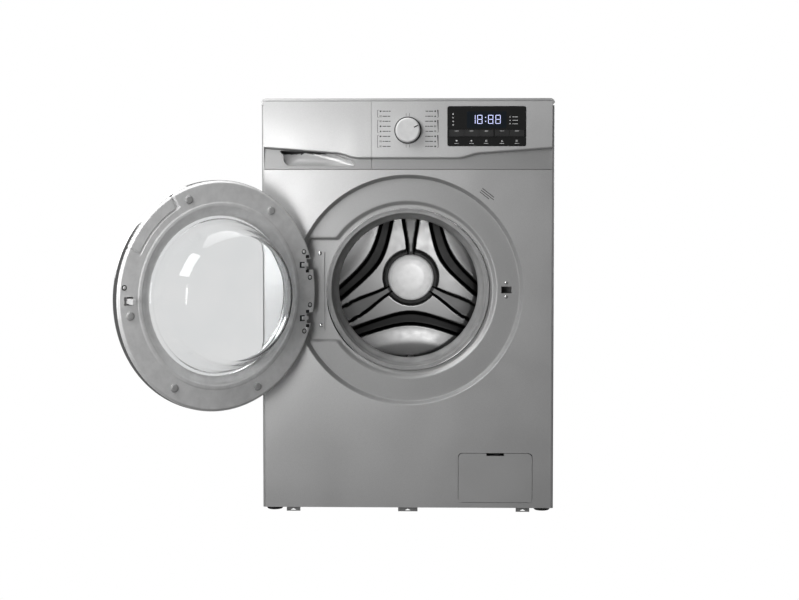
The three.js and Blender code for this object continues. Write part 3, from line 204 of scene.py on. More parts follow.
def rubber(name, level, rough=0.6):
    """Moulded rubber: dull, with a powdery bloom."""
    paint = Paint(name).set(Specular_IOR_Level=0.35)
    paint.colours(paint.noise(35, detail=6), grey(level * 0.93), grey(level * 1.05))
    paint.rough(paint.noise(70, detail=4), rough - 0.08, rough + 0.1)
    paint.bump(paint.noise(900, detail=3), 0.00005, 0.5)
    return paint.material


def clear_glass(name):
    paint = Paint(name).set(Transmission_Weight=1.0, IOR=1.32)
    paint.colours(paint.noise(12), (0.93, 0.945, 0.95, 1), (0.965, 0.972, 0.975, 1))
    paint.rough(paint.noise(40, detail=5), 0.0, 0.03)
    paint.bump(paint.noise(14, detail=1), 0.0002, 0.15)
    return paint.material


def lamp(name, colour, strength):
    paint = Paint(name).set(Emission_Color=colour, Emission_Strength=strength, Roughness=0.4)
    paint.colours(paint.noise(300), colour, tuple(0.9 * c for c in colour[:3]) + (1,))
    return paint.material


SILVER = enamel("silver_enamel", 186)
# The door recess and the hinge bracket in it get a darker copy of the cabinet's enamel: painted shade for the
# recess. It is also less metallic and a little rougher.
RECESS_SHADED_SILVER = enamel("recess_painted_shade_enamel", 160, rough=0.42, metallic=0.35)
FASCIA_SILVER = enamel("fascia_silver", 196, rough=0.36, metallic=0.4)
# A darker, rougher copy of the fascia's silver for the lower band: the darker colour is painted shade under
# the moulding's overhang.
BAND_SHADED_SILVER = enamel("band_painted_shade_silver", 156, rough=0.42, metallic=0.4)
DOOR_GREY = plastic("door_plastic", 222, rough=0.42, metallic=0.25)
BUMPER_GREY = rubber("bumper_rubber", 158)
SEAL_GREY = rubber("seal_rubber", 138, rough=0.5)
CHROME = metal("bright_chrome", 232, rough=0.13, depth=0.000004)
STAINLESS = metal("drum_stainless", 80, rough=0.3, grain=700, depth=0.000006)
# The groove steel and the near-black steel below are darker copies of the drum's stainless. They paint shade
# in the grooves, and shadow in the channels, round the hub and in the drain holes.
GROOVE_SHADE_STEEL = metal("drum_groove_shade_steel", 58, rough=0.34, grain=700, depth=0.000006)
PAINTED_SHADOW_STEEL = metal("drum_shadow_steel", 24, rough=0.36)
DRUM_WALL = metal("drum_wall_steel", 190, rough=0.26, stretch=(1, 0.08, 1), grain=900)
ZINC = metal("galvanised_sheet", 172, rough=0.42, grain=300)
STEEL = metal("machined_steel", 150, rough=0.3)
CAP_GREY = plastic("cap_plastic", 240, rough=0.35)
PALE = plastic("pale_plastic", 205, rough=0.4)
MID_GREY = plastic("mid_plastic", 118, rough=0.5)
DARK_PLASTIC = plastic("dark_plastic", 30, rough=0.5)
BLACK_RUBBER = rubber("black_rubber", 34)
LENS_BLACK = plastic("lens_black", 30, rough=0.12, depth=0.000004)
BUTTON_BLACK = plastic("button_black", 42, rough=0.3, depth=0.00001)
WINDOW_NAVY = plastic("window_navy", 26, rough=0.1, warm=-0.25, depth=0.000002)
DIGIT_LIGHT = lamp("digit_light", (0.62, 0.66, 1.0, 1), 0.9)
ICON_WHITE = plastic("icon_white", 205, rough=0.5)
INK = plastic("legend_ink", 38, rough=0.6)
GLASS = clear_glass("bowl_glass")
CONCRETE = rubber("ballast_concrete", 140, rough=0.85)
CIRCUIT = plastic("circuit_green", 70, warm=-0.2)

# ---- Mesh building ----


def finish_mesh(name, mesh, material, body, slot, sharp=35, door=False, replaces=()):
    """Makes a mesh in millimetres of the cabinet's frame into a piece that rides on a body."""
    place = Matrix.Translation(row(0, 0, 0)) @ Matrix.Scale(MM, 4)
    if door:
        swing = Matrix.Translation(HINGE) @ Matrix.Rotation(-DOOR_OPEN, 4, "Z")
        place = swing @ Matrix.Translation(-HINGE) @ place
    mesh.transform(place)
    piece = bpy.data.objects.new(name, mesh)
    bpy.context.scene.collection.objects.link(piece)
    materials = material if isinstance(material, (list, tuple)) else [material]
    for item in materials:
        mesh.materials.append(item)
    mesh.shade_smooth()
    mesh.set_sharp_from_angle(angle=radians(sharp))
    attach(piece, body)
    if replaces:
        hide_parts(*replaces)
    return piece


def mesh_of(vertices, faces):
    mesh = bpy.data.meshes.new("piece")
    mesh.from_pydata([tuple(v) for v in vertices], [], faces)
    mesh.validate()
    build = bmesh.new()
    build.from_mesh(mesh)
    bmesh.ops.remove_doubles(build, verts=build.verts, dist=0.001)
    bmesh.ops.recalc_face_normals(build, faces=build.faces)
    build.to_mesh(mesh)
    build.free()
    return mesh


def loft(loops, closed=False, caps=(False, False)):
    """Quads between rings of equal length, each a closed loop of points."""
    count = len(loops[0])
    vertices = [point for loop in loops for point in loop]
    faces = []
    rings = len(loops)
    for i in range(rings if closed else rings - 1):
        a, b = i * count, ((i + 1) % rings) * count
        for j in range(count):
            k = (j + 1) % count
            faces.append((a + j, a + k, b + k, b + j))
    if caps[0]:
        faces.append(tuple(range(count)))
    if caps[1]:
        faces.append(tuple(range((rings - 1) * count, rings * count)))
    return mesh_of(vertices, faces)


def lathe(profile, centre=(0, None), segments=160, closed=True):
    """A profile of (radius, y) turned about a line along Y through centre (x, z)."""
    cx, cz = centre[0], DRUM_Z if centre[1] is None else centre[1]
    loops = []
    for radius, y in profile:
        turn = [2 * pi * i / segments for i in range(segments)]
        radius = max(radius, 0.0)
        loops.append([(cx + radius * cos(t), y, cz + radius * sin(t)) for t in turn])
    return loft(loops, closed=closed)


def rounded_line(points, radius, steps=4, closed=False):
    """A line of (a, b) points with each inner corner rounded by an arc-like curve."""
    out = []
    count = len(points)
    for i, point in enumerate(points):
        here = Vector(point[:2])
        if not closed and i in (0, count - 1):
            out.append(tuple(here))
            continue
        before = Vector(points[i - 1][:2]) - here
        after = Vector(points[(i + 1) % count][:2]) - here
        reach = min(radius, before.length * 0.45, after.length * 0.45)
        start = here + before.normalized() * reach
        end = here + after.normalized() * reach
        for k in range(steps + 1):
            t = k / steps
            out.append(tuple(start * (1 - t) ** 2 + here * 2 * t * (1 - t) + end * t * t))
    return out


def sheet_profile(points, thickness, radius=2.0, steps=4):
    """The closed outline of a sheet along a rounded line; thickness lies to the left of the line."""
    line = [Vector(p) for p in rounded_line(points, radius, steps)]
    other = []
    for i, point in enumerate(line):
        a = (line[i] - line[i - 1]).normalized() if i else None
        b = (line[i + 1] - line[i]).normalized() if i < len(line) - 1 else None
        a, b = a or b, b or a
        normal = Vector((-a.y - b.y, a.x + b.x)).normalized()
        share = normal.x * -b.y + normal.y * b.x
        other.append(point + normal * thickness / max(share, 0.3))
    return [tuple(p) for p in line] + [tuple(p) for p in reversed(other)]


def circle(radius, centre=(0, 0), count=160):
    return [(centre[0] + radius * cos(2 * pi * i / count), centre[1] + radius * sin(2 * pi * i / count))
            for i in range(count)]


def rectangle(x0, x1, z0, z1, radius=1.0, steps=5):
    return rounded_line([(x0, z0), (x1, z0), (x1, z1), (x0, z1)], radius, steps, closed=True)


def plate(loops, y0, y1, bevel=0.4):
    """A flat plate between two depths, from an outline and holes drawn in X and Z, with rounded edges."""
    curve = bpy.data.curves.new("outline", "CURVE")
    curve.dimensions = "2D"
    curve.fill_mode = "BOTH"
    curve.extrude = (y1 - y0) / 2 - bevel
    curve.bevel_depth = bevel
    curve.bevel_resolution = 2
    curve.offset = -bevel
    for loop in loops:
        spline = curve.splines.new("POLY")
        spline.points.add(len(loop) - 1)
        for point, (x, z) in zip(spline.points, loop):
            point.co = (x, z, 0, 1)
        spline.use_cyclic_u = True
    holder = bpy.data.objects.new("outline", curve)
    bpy.context.scene.collection.objects.link(holder)
    bpy.context.view_layer.update()
    graph = bpy.context.evaluated_depsgraph_get()
    mesh = bpy.data.meshes.new_from_object(holder.evaluated_get(graph))
    bpy.data.objects.remove(holder)
    bpy.data.curves.remove(curve)
    turn = Matrix(((1, 0, 0, 0), (0, 0, -1, (y0 + y1) / 2), (0, 1, 0, 0), (0, 0, 0, 1)))
    mesh.transform(turn)
    mesh.materials.clear()
    return mesh


def joined(*meshes):
    """Several meshes as one, with each one's faces keeping its material number."""
    build = bmesh.new()
    for mesh in meshes:
        build.from_mesh(mesh)
        bpy.data.meshes.remove(mesh)
    out = bpy.data.meshes.new("piece")
    build.to_mesh(out)
    build.free()
    return out


def cut_out(mesh, *cutters):
    """The mesh with the cutters' volumes taken away."""
    holder = bpy.data.objects.new("cut", mesh)
    bpy.context.scene.collection.objects.link(holder)
    tools = []
    for cutter in cutters:
        tool = bpy.data.objects.new("tool", cutter)
        bpy.context.scene.collection.objects.link(tool)
        modifier = holder.modifiers.new("cut", "BOOLEAN")
        modifier.operation = "DIFFERENCE"
        modifier.solver = "EXACT"
        modifier.object = tool
        tools.append(tool)
    bpy.context.view_layer.update()
    graph = bpy.context.evaluated_depsgraph_get()
    result = bpy.data.meshes.new_from_object(holder.evaluated_get(graph))
    for item in [holder, *tools]:
        bpy.data.objects.remove(item)
    return result


def block(x, y, z, bevel=0.3):
    return plate([rectangle(x[0], x[1], z[0], z[1], max(bevel, 0.2), 2)], y[0], y[1], bevel)


def brick(x, y, z):
    """A plain cutter."""
    corners = [(a, b, c) for a in x for b in y for c in z]
    faces = [(0, 1, 3, 2), (4, 6, 7, 5), (0, 4, 5, 1), (2, 3, 7, 6), (0, 2, 6, 4), (1, 5, 7, 3)]
    return mesh_of(corners, faces)


def smooth(value, low, high):
    """0 below low, 1 above high, and an even curve between."""
    share = min(max((value - low) / (high - low), 0), 1)
    return share * share * (3 - 2 * share)


HEAD_HEIGHT = 1.6
CROSS_HALF = 0.5


def screw(x, z, face, radius, out=-1):
    """A pan-head screw with a crossed recess; out is -1 where it faces the front."""
    profile = [(0, face + out * HEAD_HEIGHT), (radius * 0.55, face + out * HEAD_HEIGHT * 0.93),
               (radius * 0.9, face + out * HEAD_HEIGHT * 0.5), (radius, face), (radius, face - out * 1.0),
               (0, face - out * 1.0)]
    head = lathe(profile, (x, z), 24, closed=False)
    span = radius * 0.55
    deep = (face + out * (HEAD_HEIGHT + 1), face + out * HEAD_HEIGHT * 0.35)
    low, high = min(deep), max(deep)
    return cut_out(head, brick((x - span, x + span), (low, high), (z - CROSS_HALF, z + CROSS_HALF)),
                   brick((x - CROSS_HALF, x + CROSS_HALF), (low, high), (z - span, z + span)))


def turned_piece(name, points, radius, material, body, slot, centre=(0, None), segments=160, **more):
    """A piece turned from a line of points whose corners are rounded."""
    profile = rounded_line(points, radius, 4)
    return finish_mesh(name, lathe(profile, centre, segments, closed=False), material, body, slot, **more)


# ---- CAD nodes that keep their shape ----


def dress(node, material, bevel=0.5):
    """A better material and softened edges on a CAD node that stays."""
    piece = frame["nodes"][node]
    for slot in piece.material_slots:
        slot.material = material
    if not piece.material_slots:
        piece.data.materials.append(material)
    if bevel:
        flat = piece.modifiers.new("flat", "DECIMATE")
        flat.decimate_type = "DISSOLVE"
        flat.angle_limit = radians(1)
        soft = piece.modifiers.new("soft", "BEVEL")
        soft.width = bevel * MM
        soft.segments = 2
        soft.limit_method = "ANGLE"
        soft.angle_limit = radians(40)
        soft.harden_normals = True


KEPT = {
    SILVER: ["side_panel_left", "side_panel_right", "worktop"],
    MID_GREY: ["base_tray", "door_lock", "drain_pump", "pump_impeller", "drain_outlet",
               "damper_cylinder_left", "damper_cylinder_right"],
    ZINC: ["rear_panel", "damper_rod_left", "damper_rod_right"],
    PALE: ["door_hook", "drawer_tray", "dispenser_housing", "inlet_valve", "tub_front", "tub_rear",
           "pump_filter", "drum_lifter_1", "drum_lifter_2", "drum_lifter_3"],
    # The hinge bracket in the recess shares the recess's darker enamel, painted shade.
    RECESS_SHADED_SILVER: ["hinge_bracket"],
    STEEL: ["door_hinge", "heater", "drum_spider", "drum_bearing", "drum_pulley",
            "motor", "motor_pulley", "suspension_spring_left", "suspension_spring_right"],
    BLACK_RUBBER: ["cord_gland", "drive_belt", "sump_hose"],
    BUTTON_BLACK: [f"button_{i}" for i in range(1, 6)],
    CONCRETE: ["counterweight"],
    CIRCUIT: ["control_board"],
}
# These are smooth already, or thin, so that their edges stay as they are.
UNBEVELLED = {"tub_front", "tub_rear", "sump_hose", "suspension_spring_left", "suspension_spring_right",
              "drive_belt", "heater", "drum_pulley"}
for material, nodes in KEPT.items():
    for node in nodes:
        dress(node, material, 0 if node in UNBEVELLED else 0.5)
dress("display_lens", LENS_BLACK, 0.4)
dress("filter_hatch", SILVER, 0.8)

# ---- Front panel ----

DISH_EDGE = RECESS_RADIUS + 3.5
HATCH_MARGIN = 0.8
LIP = 12


def dish_depth(radius, angle):
    """Depth of the pressed door recess at a radius and angle, with the hinge pocket at the left."""
    lip = smooth(DISH_EDGE - radius, 0, 8) * RECESS_DEPTH
    step = smooth(STEP_RADIUS - radius, -2.5, 7) * (STEP_DEPTH - RECESS_DEPTH)
    x, z = radius * cos(angle), radius * sin(angle)
    inside = smooth(POCKET_HALF - abs(z), -2, 2) * smooth(-100 - x, 0, 3)
    pocket = inside * smooth(RECESS_RADIUS - 6 - radius, 0, 3) * (STEP_DEPTH - RECESS_DEPTH)
    roll = smooth(MOUTH_RADIUS + 3 - radius, 0, 3) * 3
    return lip + max(step, pocket) + roll


def polar_sheet(depth, outer, inner, ring, thickness, segments=480):
    """A closed sheet between two radii whose front follows a depth function."""
    count = int((outer - inner) / ring) + 1
    radii = [outer + (inner - outer) * i / count for i in range(count + 1)]
    angles = [2 * pi * i / segments for i in range(segments)]
    front = [[(r * cos(t), depth(r, t), DRUM_Z + r * sin(t)) for t in angles] for r in radii]
    back = [[(x, y + thickness, z) for x, y, z in loop] for loop in reversed(front)]
    return loft(front + back, closed=True)


LEFT, BOTTOM = PANEL_LOW[0], PANEL_LOW[2]
RIGHT, TOP = PANEL_HIGH[0], PANEL_HIGH[2]
panel_outline = [(LEFT, BOTTOM), (RIGHT, BOTTOM), (RIGHT, TOP), (LEFT, TOP)]
hatch_hole = rectangle(HATCH_LOW[0] - HATCH_MARGIN, HATCH_HIGH[0] + HATCH_MARGIN,
                       HATCH_LOW[2] - HATCH_MARGIN, HATCH_HIGH[2] + HATCH_MARGIN, 9)
panel = joined(
    plate([panel_outline, hatch_hole, circle(DISH_EDGE, (0, DRUM_Z), 480)], 0, SHEET, 0.0),
    brick((LEFT, LEFT + SHEET), (SHEET, LIP), (BOTTOM, TOP)),
    brick((RIGHT - SHEET, RIGHT), (SHEET, LIP), (BOTTOM, TOP)),
    brick((LEFT, RIGHT), (SHEET, LIP), (TOP - SHEET, TOP)),
    brick((LEFT, RIGHT), (SHEET, LIP), (BOTTOM, BOTTOM + SHEET)),
)
lock_slot = brick((HOOK_X - 10.5, HOOK_X + 10.5), (5, 40), (DRUM_Z - 7, DRUM_Z + 7))
dish = cut_out(polar_sheet(dish_depth, DISH_EDGE, MOUTH_RADIUS, 1.5, SHEET), lock_slot)
finish_mesh("front_sheet", panel, SILVER, "cabinet", "silver_paint", replaces=["front_panel"])
# The pressed recess takes the darker enamel, painted shade.
finish_mesh("door_recess", dish, RECESS_SHADED_SILVER, "cabinet", "silver_paint", replaces=["front_panel"])

LOCK_SCREWS = [(HOOK_X, DRUM_Z + 14.5), (HOOK_X, DRUM_Z - 14.5)]
BRACKET_SCREWS = [(-181, 533), (-179, 385)]
BRACKET_FACE = 14.2
for number, (x, z) in enumerate(LOCK_SCREWS, 1):
    finish_mesh(f"lock_screw_{number}", screw(x, z, RECESS_DEPTH, 3.6), CHROME, "cabinet", "steel")
for number, (x, z) in enumerate(BRACKET_SCREWS, 1):
    finish_mesh(f"bracket_screw_{number}", screw(x, z, BRACKET_FACE, 4.2), CHROME, "cabinet", "steel")

# ---- Control fascia and drawer front ----

FASCIA_FOOT = FASCIA_LOW[2]
FASCIA_TOP = FASCIA_HIGH[2]
BAND = {"centre": 23.6, "shoulder": 34.0, "end": 45.0, "flat": 100.0, "rise": 50.0, "half": 298.5}
SCOOP = 6.0
PROUD = 3.0
LENGTH_STEP = 3
END_INSET = 0.4
BAND_BACK = 12
FASCIA_DEPTH = 28.0
DRAWER_DEPTH = 21.7


def band_height(x):
    """Height of the moulding's edge above the fascia's foot: lowest in the middle, rising to both ends."""
    away = abs(x)
    climb = smooth(away, BAND["flat"], BAND["flat"] + BAND["rise"])
    outer = max(away - BAND["flat"] - BAND["rise"], 0) / (BAND["half"] - BAND["flat"] - BAND["rise"])
    rise = BAND["shoulder"] - BAND["centre"]
    return BAND["centre"] + rise * climb + (BAND["end"] - BAND["shoulder"]) * outer


def moulding(x, depth):
    """The outer line of the moulded front at one x, in Y and Z, from the back of its foot to its top."""
    edge = FASCIA_FOOT + band_height(x)
    scoop = band_height(x) * SCOOP / BAND["end"]
    line = [(depth, FASCIA_FOOT), (0, FASCIA_FOOT), (scoop, edge - 1.5), (-PROUD, edge + 1.0),
            (-PROUD, FASCIA_TOP), (depth, FASCIA_TOP)]
    return rounded_line(line, 2.2, 4)


def inset_line(line, amount):
    """The line moved sideways, into the moulding."""
    out = []
    for i, point in enumerate(line):
        before = Vector(line[max(i - 1, 0)])
        after = Vector(line[min(i + 1, len(line) - 1)])
        along = (after - before).normalized()
        out.append((point[0] + along.y * amount, point[1] - along.x * amount))
    return out


def moulded_front(x0, x1, depth):
    """The moulded shell between two places along X, and its two end walls."""
    count = max(int((x1 - x0) / LENGTH_STEP), 2)
    places = [x0 + (x1 - x0) * i / count for i in range(count + 1)]
    loops = []
    for x in places:
        outer = moulding(x, depth)
        inner = inset_line(outer, WALL)
        loops.append([(x, y, z) for y, z in outer + inner[::-1]])
    shell = loft(loops, caps=(True, True))
    ends = []
    for a, b in ((x0, x0 + WALL), (x1 - WALL, x1)):
        inset = [inset_line(moulding(x, depth), END_INSET) for x in (a, b)]
        rings = [[(x, y, z) for y, z in line] for x, line in zip((a, b), inset)]
        ends.append(loft(rings, caps=(True, True)))
    return shell, ends


def paint_band_shade(mesh):
    """The lower band below the moulding gets the second material, rougher and darker, as painted shade under
    the overhang.
    """
    for face in mesh.polygons:
        x, y, z = face.center
        if y < BAND_BACK and z < FASCIA_FOOT + band_height(x) - 1.0:
            face.material_index = 1


def hole(radius, y0, y1, x, z, segments=48):
    return lathe([(0, y0), (radius, y0), (radius, y1), (0, y1)], (x, z), segments, closed=False)


def button_windows():
    """Cutters for the openings behind the first three buttons and the last two."""
    places = [limits(f"button_{i}") for i in range(1, 6)]
    low, high = places[0][0][2] + 1.6, places[0][1][2] - 1.6
    pairs = [(places[0], places[2]), (places[3], places[4])]
    return [brick((left[0][0] - 0.4, right[1][0] + 0.4), (-9, 6), (low, high)) for left, right in pairs]


SEAM = DRAWER_HIGH[0] + GAP * 2
FRAME_BAR = (22, 28)
DOORWAY_LOW, DOORWAY_HIGH = 746.5, 826
KNOB_HOLE = 3.8
shell, ends = moulded_front(SEAM, FASCIA_HIGH[0], FASCIA_DEPTH)
lens_edge = rectangle(LENS_LOW[0] - GAP, LENS_HIGH[0] + GAP, LENS_LOW[2] - GAP, LENS_HIGH[2] + GAP, 4)
lens_seat = plate([lens_edge], -9, -1.2, 0)
shell = cut_out(shell, lens_seat, *button_windows(), hole(KNOB_HOLE, -9, 9, 0, KNOB_Z))
# The frame behind the drawer's front, which the drawer runs through.
frame_bars = [
    block((FASCIA_LOW[0], DRAWER_LOW[0] + 6), FRAME_BAR, (FASCIA_FOOT, FASCIA_TOP)),
    block((SEAM - 9, SEAM + 3), FRAME_BAR, (FASCIA_FOOT, FASCIA_TOP)),
    block((FASCIA_LOW[0], SEAM), FRAME_BAR, (FASCIA_FOOT, DOORWAY_LOW)),
    block((FASCIA_LOW[0], SEAM), FRAME_BAR, (DOORWAY_HIGH, FASCIA_TOP)),
]
moulding_mesh = joined(shell, *ends, *frame_bars)
paint_band_shade(moulding_mesh)
finish_mesh("fascia_moulding", moulding_mesh, [FASCIA_SILVER, BAND_SHADED_SILVER], "cabinet", "silver_plastic",
            replaces=["control_fascia"])

GRIP = rounded_line([(-262, 743.5), (-254, 735), (-254.5, 722), (-246, 712.4), (-108, 712.4), (-112, 722),
                     (-139, 732.5), (-156, 739)], 5, 5, closed=True)
GRIP_MIDDLE = (-212, 739)
GRIP_SHADE = 736.5


def grip_ring(scale, y):
    """The grip's outline drawn in towards its middle, at a depth."""
    cx, cz = GRIP_MIDDLE
    return [(cx + (x - cx) * scale, y, cz + (z - cz) * scale) for x, z in GRIP]


shell, ends = moulded_front(DRAWER_LOW[0], DRAWER_HIGH[0], DRAWER_DEPTH)
shell = cut_out(shell, loft([grip_ring(0.995, -1.2), grip_ring(0.995, 14)], caps=(True, True)))
bowl_steps = [(1.0, 1.2), (0.99, 3.5), (0.95, 7), (0.86, 11), (0.68, 15), (0.45, 17.4), (0.2, 18.2),
              (0.05, 18.4)]
inner_bowl = [grip_ring(scale, y) for scale, y in bowl_steps]
outer_bowl = [grip_ring(scale + 0.03, y + 1.4) for scale, y in reversed(bowl_steps)]
bowl = loft(inner_bowl + outer_bowl, closed=True)
moulding_mesh = joined(shell, *ends)
paint_band_shade(moulding_mesh)
# The top of the grip's bowl, deepest under the moulding, gets the dark plastic as painted shade.
for face in bowl.polygons:
    if face.center[2] > GRIP_SHADE:
        face.material_index = 2
finish_mesh("drawer_moulding", joined(moulding_mesh, bowl), [FASCIA_SILVER, BAND_SHADED_SILVER, DARK_PLASTIC],
            "drawer", "silver_plastic", replaces=["drawer_front"])

# ---- Knob, legend and display ----

POINTER = radians(24)
FRONT = -PROUD
PRINT_HEIGHT = 0.14
knob_profile = [(0, FRONT - 18.2), (17, FRONT - 18.8), (22, FRONT - 19), (24.2, FRONT - 17.8),
                (25, FRONT - 15), (25, FRONT - 5), (25.6, FRONT - 4.4), (27.3, FRONT - 4),
                (27.5, FRONT - GAP), (3, FRONT - GAP), (3, 12), (0, 12)]
turned_piece("knob_body", knob_profile, 0.8, PALE, "knob", "silver_plastic", (0, KNOB_Z), 120,
             replaces=["program_knob"])
# A dark ring where the knob's body meets its flange: painted shade for the gap round the knob.
knob_shadow_profile = [(25.3, FRONT - 4.2), (25.6, FRONT - 5.2), (27.4, FRONT - 4.9), (27.7, FRONT - 4.0),
                (27.5, FRONT - 3.2)]
turned_piece("knob_shadow_ring", knob_shadow_profile, 0.4, DARK_PLASTIC, "knob", "silver_plastic", (0, KNOB_Z), 120)


def turned_bar(angle, near, far, half):
    """A flat bar along a radius of the knob."""
    along, across = Vector((cos(angle), sin(angle))), Vector((-sin(angle), cos(angle)))
    middle = Vector((0, KNOB_Z))
    ends = ((near, -half), (far, -half), (far, half), (near, half))
    corners = [middle + along * r + across * w for r, w in ends]
    return rounded_line([tuple(c) for c in corners], 0.5, 3, closed=True)


finish_mesh("knob_pointer", plate([turned_bar(POINTER, 13.5, 23.3, 1.1)], FRONT - 19.25, FRONT - 18.4, 0.1),
            DARK_PLASTIC, "knob", "silver_plastic")


def bars(name, loops, face, material, slot, body="cabinet"):
    """Flat printed or lit shapes on a face, as one thin piece."""
    return finish_mesh(name, plate(loops, face - PRINT_HEIGHT, face + 0.02, 0.03), material, body, slot)


def bar(x, z, width, height, radius=0.25):
    return rectangle(x - width / 2, x + width / 2, z - height / 2, z + height / 2, radius, 2)


def leader(x0, z0, x1, z1, half=0.18):
    """A thin line between two points."""
    along = (Vector((x1, z1)) - Vector((x0, z0))).normalized() * half
    side = Vector((-along.y, along.x))
    a, b = Vector((x0, z0)), Vector((x1, z1))
    return [tuple(a + side), tuple(a - side), tuple(b - side), tuple(b + side)]


def icon(kind, x, z, size):
    """One of a few plain generic shapes, as loops that don't cross."""
    half = size / 2
    if kind == 0:
        top, foot = z + half * 0.6, z - half * 0.7
        return [[(x - half, top), (x - half * 0.6, foot), (x + half * 0.6, foot), (x + half, top)]]
    if kind == 1:
        return [circle(half * 0.8, (x, z), 20)]
    if kind == 2:
        return [bar(x + side * half * 0.55, z, half * 0.5, size * 0.9) for side in (-1, 1)]
    if kind == 3:
        return [[(x - half, z - half * 0.7), (x + half, z - half * 0.7), (x, z + half * 0.9)]]
    return [bar(x, z + half * 0.5, size, half * 0.42), bar(x, z - half * 0.4, size, half * 0.42)]


LEGEND_ROWS = 8
LEGEND_PITCH = 10.2
DASH_ROWS = [(6.5, 4.2, 3.6), (9.0, 5.6), (4.0, 7.0, 3.0), (8.0, 7.2)]
LEGEND_TOP = KNOB_Z + 3 + (LEGEND_ROWS - 1) * LEGEND_PITCH / 2


def legend_row(number, side):
    """A programme's mark and its row of dashes, beside the knob."""
    height = LEGEND_TOP - number * LEGEND_PITCH
    loops = icon((number * 2 + (side > 0)) % 5, side * 55.6, height, 4.4)
    start = 51.5
    for width in DASH_ROWS[(number + (side > 0)) % 4]:
        loops.append(bar(side * (start - width / 2), height, width, 1.6))
        start -= width + 1.0
    return loops


legend = []
for row_number in range(LEGEND_ROWS):
    legend.extend(legend_row(row_number, -1) + legend_row(row_number, 1))
for side in (-1, 1):
    for first_row, last_row in ((0, 1), (2, 4), (5, 7)):
        top, foot = LEGEND_TOP - first_row * LEGEND_PITCH, LEGEND_TOP - last_row * LEGEND_PITCH
        legend.append(bar(side * 61.8, (top + foot) / 2, 0.8, top - foot + 4, 0.1))
        legend.append(bar(side * 60.6, top + 2.2, 1.9, 0.8, 0.1))
        legend.append(bar(side * 60.6, foot - 2.2, 1.9, 0.8, 0.1))
    legend.append(leader(side * 3.4, KNOB_Z + 28.6, side * 3.4, KNOB_Z + 35, 0.3))
    legend.append(leader(side * 3.4, KNOB_Z - 28.6, side * 3.4, KNOB_Z - 35, 0.3))
bars("knob_legend", legend, FRONT, INK, "silver_plastic")

LENS_FACE = LENS_LOW[1]
bars("display_window", [rectangle(120, 200, 789.5, 823, 1.5)], LENS_FACE, WINDOW_NAVY, "black_gloss")
SEGMENTS = {"8": "abcdefg", "1": "bc"}
DIGIT_PLACES = [(127, "1"), (141, "8"), (163, "8"), (178, "8")]
DIGIT_FOOT, DIGIT_WIDTH, DIGIT_HEIGHT = 798, 10.5, 18


def digit(character, x, z, width, height):
    """The lit bars of a seven-part digit whose lower left corner is at x, z."""
    stroke, space = 1.3, 0.25
    half = height / 2
    shapes = {
        "a": (x + stroke, x + width - stroke, z + height - stroke, z + height),
        "g": (x + stroke, x + width - stroke, z + half - stroke / 2, z + half + stroke / 2),
        "d": (x + stroke, x + width - stroke, z, z + stroke),
        "f": (x, x + stroke, z + half + space, z + height - space),
        "b": (x + width - stroke, x + width, z + half + space, z + height - space),
        "e": (x, x + stroke, z + space, z + half - space),
        "c": (x + width - stroke, x + width, z + space, z + half - space),
    }
    return [rectangle(a + 0.12, b - 0.12, c + 0.12, d - 0.12, 0.4, 2)
            for a, b, c, d in (shapes[key] for key in SEGMENTS[character])]


lit = []
for place, character in DIGIT_PLACES:
    lit.extend(digit(character, place, DIGIT_FOOT, DIGIT_WIDTH, DIGIT_HEIGHT))
lit.extend([bar(158, 811, 1.8, 1.8, 0.4), bar(158, 803, 1.8, 1.8, 0.4)])
bars("display_digits", lit, LENS_FACE - PRINT_HEIGHT, DIGIT_LIGHT, "black_gloss")
marks = []
for number in range(4):
    marks.extend(icon((number + 1) % 5, 92, 818 - number * 7.5, 3.6))
for number in range(5):
    low, high = limits(f"button_{number + 1}")
    middle = (low[0] + high[0]) / 2
    marks.extend(icon(number, middle, 763.5, 4.4))
    marks.append(bar(middle, 758.2, 9, 0.9))
for number in range(3):
    marks.append(bar(218, 812 - number * 7, 11, 1.0))
    marks.extend(icon((number + 2) % 5, 207.5, 812 - number * 7, 3.2))
bars("display_icons", marks, LENS_FACE, ICON_WHITE, "black_gloss")
for number in range(1, 6):
    low, high = limits(f"button_{number}")
    middle = (low[0] + high[0]) / 2
    bars(f"button_light_{number}", [bar(middle, high[2] - 4.6, 8, 0.9)], low[1], ICON_WHITE, "grey_plastic",
         f"button_{number}")

# Three plain strokes above the recess, turned like its edge.
MARKS_TURN = radians(-38)
MARKS_START = Vector((152, 667))
MARKS_PITCH = 4.4
label = []
for line_number, width in enumerate((30, 33, 24)):
    along = Vector((cos(MARKS_TURN), sin(MARKS_TURN)))
    start = MARKS_START + Vector((along.y, -along.x)) * line_number * MARKS_PITCH
    end = start + along * width
    label.append(leader(start.x, start.y, end.x, end.y, 0.7))
bars("rating_marks", label, 0.0, INK, "silver_paint")

# ---- Door ----

GRIP_FROM, GRIP_TO = radians(26), radians(61)
GRIP_RADIUS = 197
RING_RADIUS = 201
HINGE_BRACKET_EDGE = -201
EAR_LOW, EAR_HIGH = 43.2, 65.5
PLATE_FACE = DOOR_FACE + 0.35


